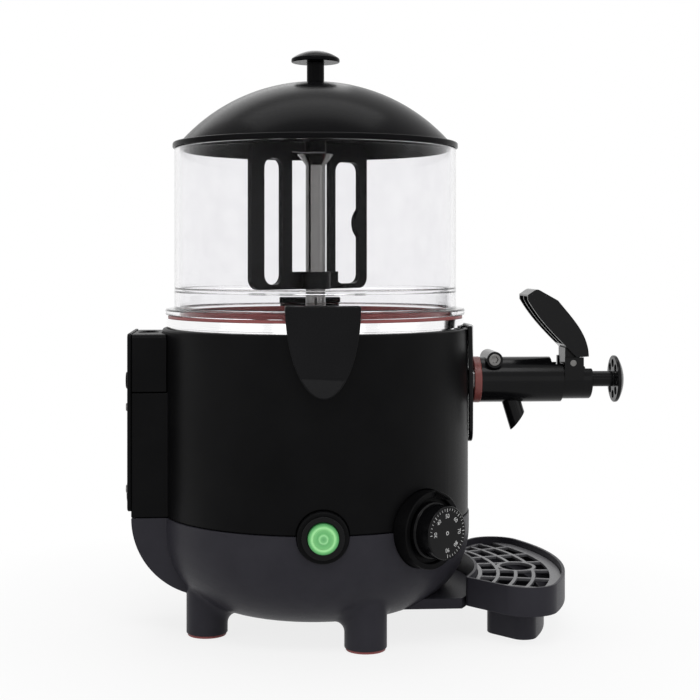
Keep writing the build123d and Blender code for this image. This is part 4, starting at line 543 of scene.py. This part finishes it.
def prism(work, corners, height):
    """Closed slab over a flat outline."""
    bottom = [work.verts.new((x, y, 0.0)) for x, y in corners]
    top = [work.verts.new((x, y, height)) for x, y in corners]
    work.faces.new(bottom[::-1])
    work.faces.new(top)
    for i in range(len(corners)):
        j = (i + 1) % len(corners)
        work.faces.new((bottom[i], bottom[j], top[j], top[i]))


def figures(work, words, place):
    """Adds printed figures, centred and turned by place."""
    curve = bpy.data.curves.new("figures", "FONT")
    curve.body = words
    curve.size = FIGURE_SIZE
    curve.align_x = "CENTER"
    curve.align_y = "CENTER"
    curve.resolution_u = FIGURE_STEPS
    curve.extrude = PRINT_T / 2
    holder = bpy.data.objects.new("figures", curve)
    bpy.context.scene.collection.objects.link(holder)
    flat = bpy.data.meshes.new_from_object(holder.evaluated_get(bpy.context.evaluated_depsgraph_get()))
    flat.transform(place)
    work.from_mesh(flat)
    bpy.data.objects.remove(holder)
    bpy.data.meshes.remove(flat)


def dial_marks():
    work = bmesh.new()
    for k in range(TICKS):
        turn = math.radians(FIRST_DEG - TICK_DEG * k)
        outward = Vector((math.cos(turn), math.sin(turn)))
        long_tick = k % FIGURE_EVERY == 0
        across = Vector((-outward.y, outward.x)) * (LONG_TICK_HALF if long_tick else SHORT_TICK_HALF)
        near = outward * (LONG_TICK_IN if long_tick else SHORT_TICK_IN)
        far = outward * TICK_OUT
        prism(work, (near - across, far - across, far + across, near + across), PRINT_T)
        if long_tick:
            place = Matrix.Translation((outward.x * FIGURE_R, outward.y * FIGURE_R, PRINT_T / 2))
            upright = Matrix.Rotation(turn - math.pi / 2, 4, "Z")
            figures(work, str(FIRST_FIGURE + TICK_WORTH * k), place @ upright)
    turned(work, ((RING_IN, 0.0), (RING_OUT, 0.0), (RING_OUT, PRINT_T), (RING_IN, PRINT_T)), RING_SIDES)
    out = Vector((-math.sin(math.radians(DIAL_DEG)), -math.cos(math.radians(DIAL_DEG)), 0.0))
    side = Vector((-out.y, out.x, 0.0))
    low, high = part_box("dial_knob")
    reach = max(Vector(v.co).dot(out) for v in NODES["dial_knob"].data.vertices)
    middle = out * reach + Vector((0.0, 0.0, (low[2] + high[2]) / 2))
    facing = Matrix((side, (0.0, 0.0, 1.0), out)).transposed().to_4x4()
    work.transform(Matrix.Translation(middle) @ facing)
    mesh = bpy.data.meshes.new("dial_marks")
    work.to_mesh(mesh)
    work.free()
    add_piece("dial_marks", mesh, "dial_knob", replace=False, material="print_white")


dial_marks()

# Camera: level, fitted to the photograph, with its frame shifted down
LENS_PX = 1463.0
FRAME_PX = 700.0
SENSOR = 36.0
CAM_AWAY = 1.18
CAM_HIGH = 0.295
CAM_BEHIND = math.radians(2.5)
AXIS_PX = 315.5
HORIZON_PX = 255.0

inward = Vector((math.cos(CAM_BEHIND), -math.sin(CAM_BEHIND), 0.0))
right = Vector((inward.y, -inward.x, 0.0))
yaw = math.atan((FRAME_PX / 2 - AXIS_PX) / LENS_PX)
look = inward * math.cos(yaw) + right * math.sin(yaw)
camera_data = bpy.data.cameras.new("camera")
camera_data.sensor_width = SENSOR
camera_data.lens = LENS_PX / FRAME_PX * SENSOR
camera_data.shift_y = (HORIZON_PX - FRAME_PX / 2) / FRAME_PX
camera = bpy.data.objects.new("camera", camera_data)
camera.location = -inward * CAM_AWAY + Vector((0.0, 0.0, CAM_HIGH))
camera.rotation_euler = look.to_track_quat("-Z", "Y").to_euler()
bpy.context.scene.collection.objects.link(camera)
bpy.context.scene.camera = camera

# Lights: place and height of the aim in metres, power in watts
LIGHTS = {
    "light_top": {"place": (0.45, 0.0, 1.75), "aim_z": 0.3, "wide": 1.4, "high": 0.6, "power": 6.0},
    "light_left": {"place": (-0.9, 1.5, 0.8), "aim_z": 0.25, "wide": 1.25, "high": 1.3, "power": 3.5},
    "light_right": {"place": (-0.8, -1.55, 0.8), "aim_z": 0.25, "wide": 1.25, "high": 1.3, "power": 4.0},
    "light_back": {"place": (1.5, 0.3, 1.4), "aim_z": 0.25, "wide": 1.2, "high": 0.8, "power": 4.0},
    "light_front": {"place": (-2.4, 0.0, 0.52), "aim_z": 0.3, "wide": 3.2, "high": 1.0, "power": 5.0},
    "light_key": {"place": (-0.95, -0.05, 1.45), "aim_z": 0.25, "wide": 0.9, "high": 0.5, "power": 7.0},
}


def softbox(name, place, aim_z, wide, high, power):
    """Rectangular lamp aimed at a height on the body's axis."""
    data = bpy.data.lights.new(name, "AREA")
    data.shape = "RECTANGLE"
    data.size = wide
    data.size_y = high
    data.energy = power
    obj = bpy.data.objects.new(name, data)
    obj.location = place
    aim = Vector((0.0, 0.0, aim_z)) - Vector(place)
    obj.rotation_euler = aim.to_track_quat("-Z", "Y").to_euler()
    bpy.context.scene.collection.objects.link(obj)


for name, light in LIGHTS.items():
    softbox(name, **light)

# Background: white to the camera and in gloss and glass, dimmer as a light on the object
WORLD_LIGHT = 0.3
WORLD_SEEN = 1.0
SEEN_RAYS = ("Is Camera Ray", "Is Glossy Ray", "Is Transmission Ray")
FLOOR_SIZE = 6.0
FLOOR_DROP = 0.2 * MM
FLOOR_DARK = (0.93, 0.93, 0.93)
FLOOR_LIGHT = (0.95, 0.95, 0.95)
FLOOR_GRAIN = 3.0
FLOOR_ROUGH = 0.7
FLOOR_SPECULAR = 0.1
FADE_NEAR = 0.12
FADE_FAR = 0.42
FADE_LOW = 0.82
FADE_HIGH = 1.0


def seen_ray(tree):
    """1 for the rays that see the background as white, 0 for the others."""
    paths = tree.nodes.new("ShaderNodeLightPath")
    value = paths.outputs[SEEN_RAYS[0]]
    for name in SEEN_RAYS[1:]:
        join = tree.nodes.new("ShaderNodeMath")
        join.operation = "MAXIMUM"
        tree.links.new(value, join.inputs[0])
        tree.links.new(paths.outputs[name], join.inputs[1])
        value = join.outputs["Value"]
    return value


def mixed(tree, share, first, second, output):
    """Sends the first shader to the output, and the second one by its share."""
    mix = tree.nodes.new("ShaderNodeMixShader")
    tree.links.new(share, mix.inputs["Fac"])
    tree.links.new(first, mix.inputs[1])
    tree.links.new(second, mix.inputs[2])
    tree.links.new(mix.outputs["Shader"], tree.nodes[output].inputs["Surface"])


def white_world():
    world = bpy.data.worlds.new("studio")
    bpy.context.scene.world = world
    world.use_nodes = True
    tree = world.node_tree
    dim = tree.nodes["Background"]
    dim.inputs["Color"].default_value = WHITE
    dim.inputs["Strength"].default_value = WORLD_LIGHT
    white = tree.nodes.new("ShaderNodeBackground")
    white.inputs["Color"].default_value = WHITE
    white.inputs["Strength"].default_value = WORLD_SEEN
    mixed(tree, seen_ray(tree), dim.outputs["Background"], white.outputs["Background"], "World Output")


def floor_white():
    """White paper near the machine, fading to the white background further out."""
    mat, tree, shader = new_material("floor_white")
    tone = noise(tree, coords(tree), FLOOR_GRAIN)
    tree.links.new(two_tone(tree, tone, FLOOR_DARK, FLOOR_LIGHT), shader.inputs["Base Color"])
    shader.inputs["Roughness"].default_value = FLOOR_ROUGH
    shader.inputs["Specular IOR Level"].default_value = FLOOR_SPECULAR
    where = tree.nodes.new("ShaderNodeTexCoord").outputs["Object"]
    far = span(tree, vector_step(tree, "LENGTH", where), FADE_LOW, FADE_HIGH, FADE_NEAR, FADE_FAR)
    both = tree.nodes.new("ShaderNodeMath")
    both.operation = "MULTIPLY"
    tree.links.new(far, both.inputs[0])
    tree.links.new(seen_ray(tree), both.inputs[1])
    glow = tree.nodes.new("ShaderNodeEmission")
    glow.inputs["Color"].default_value = WHITE
    glow.inputs["Strength"].default_value = WORLD_SEEN
    mixed(tree, both.outputs["Value"], shader.outputs["BSDF"], glow.outputs["Emission"], "Material Output")
    return mat


white_world()
floor_mesh = bpy.data.meshes.new("floor")
floor_grid = bmesh.new()
bmesh.ops.create_grid(floor_grid, x_segments=1, y_segments=1, size=FLOOR_SIZE)
floor_grid.to_mesh(floor_mesh)
floor_grid.free()
floor_mesh.materials.append(floor_white())
floor = bpy.data.objects.new("floor", floor_mesh)
floor.location = (0.0, 0.0, -FLOOR_DROP)
bpy.context.scene.collection.objects.link(floor)

bpy.context.scene.view_settings.view_transform = "Standard"
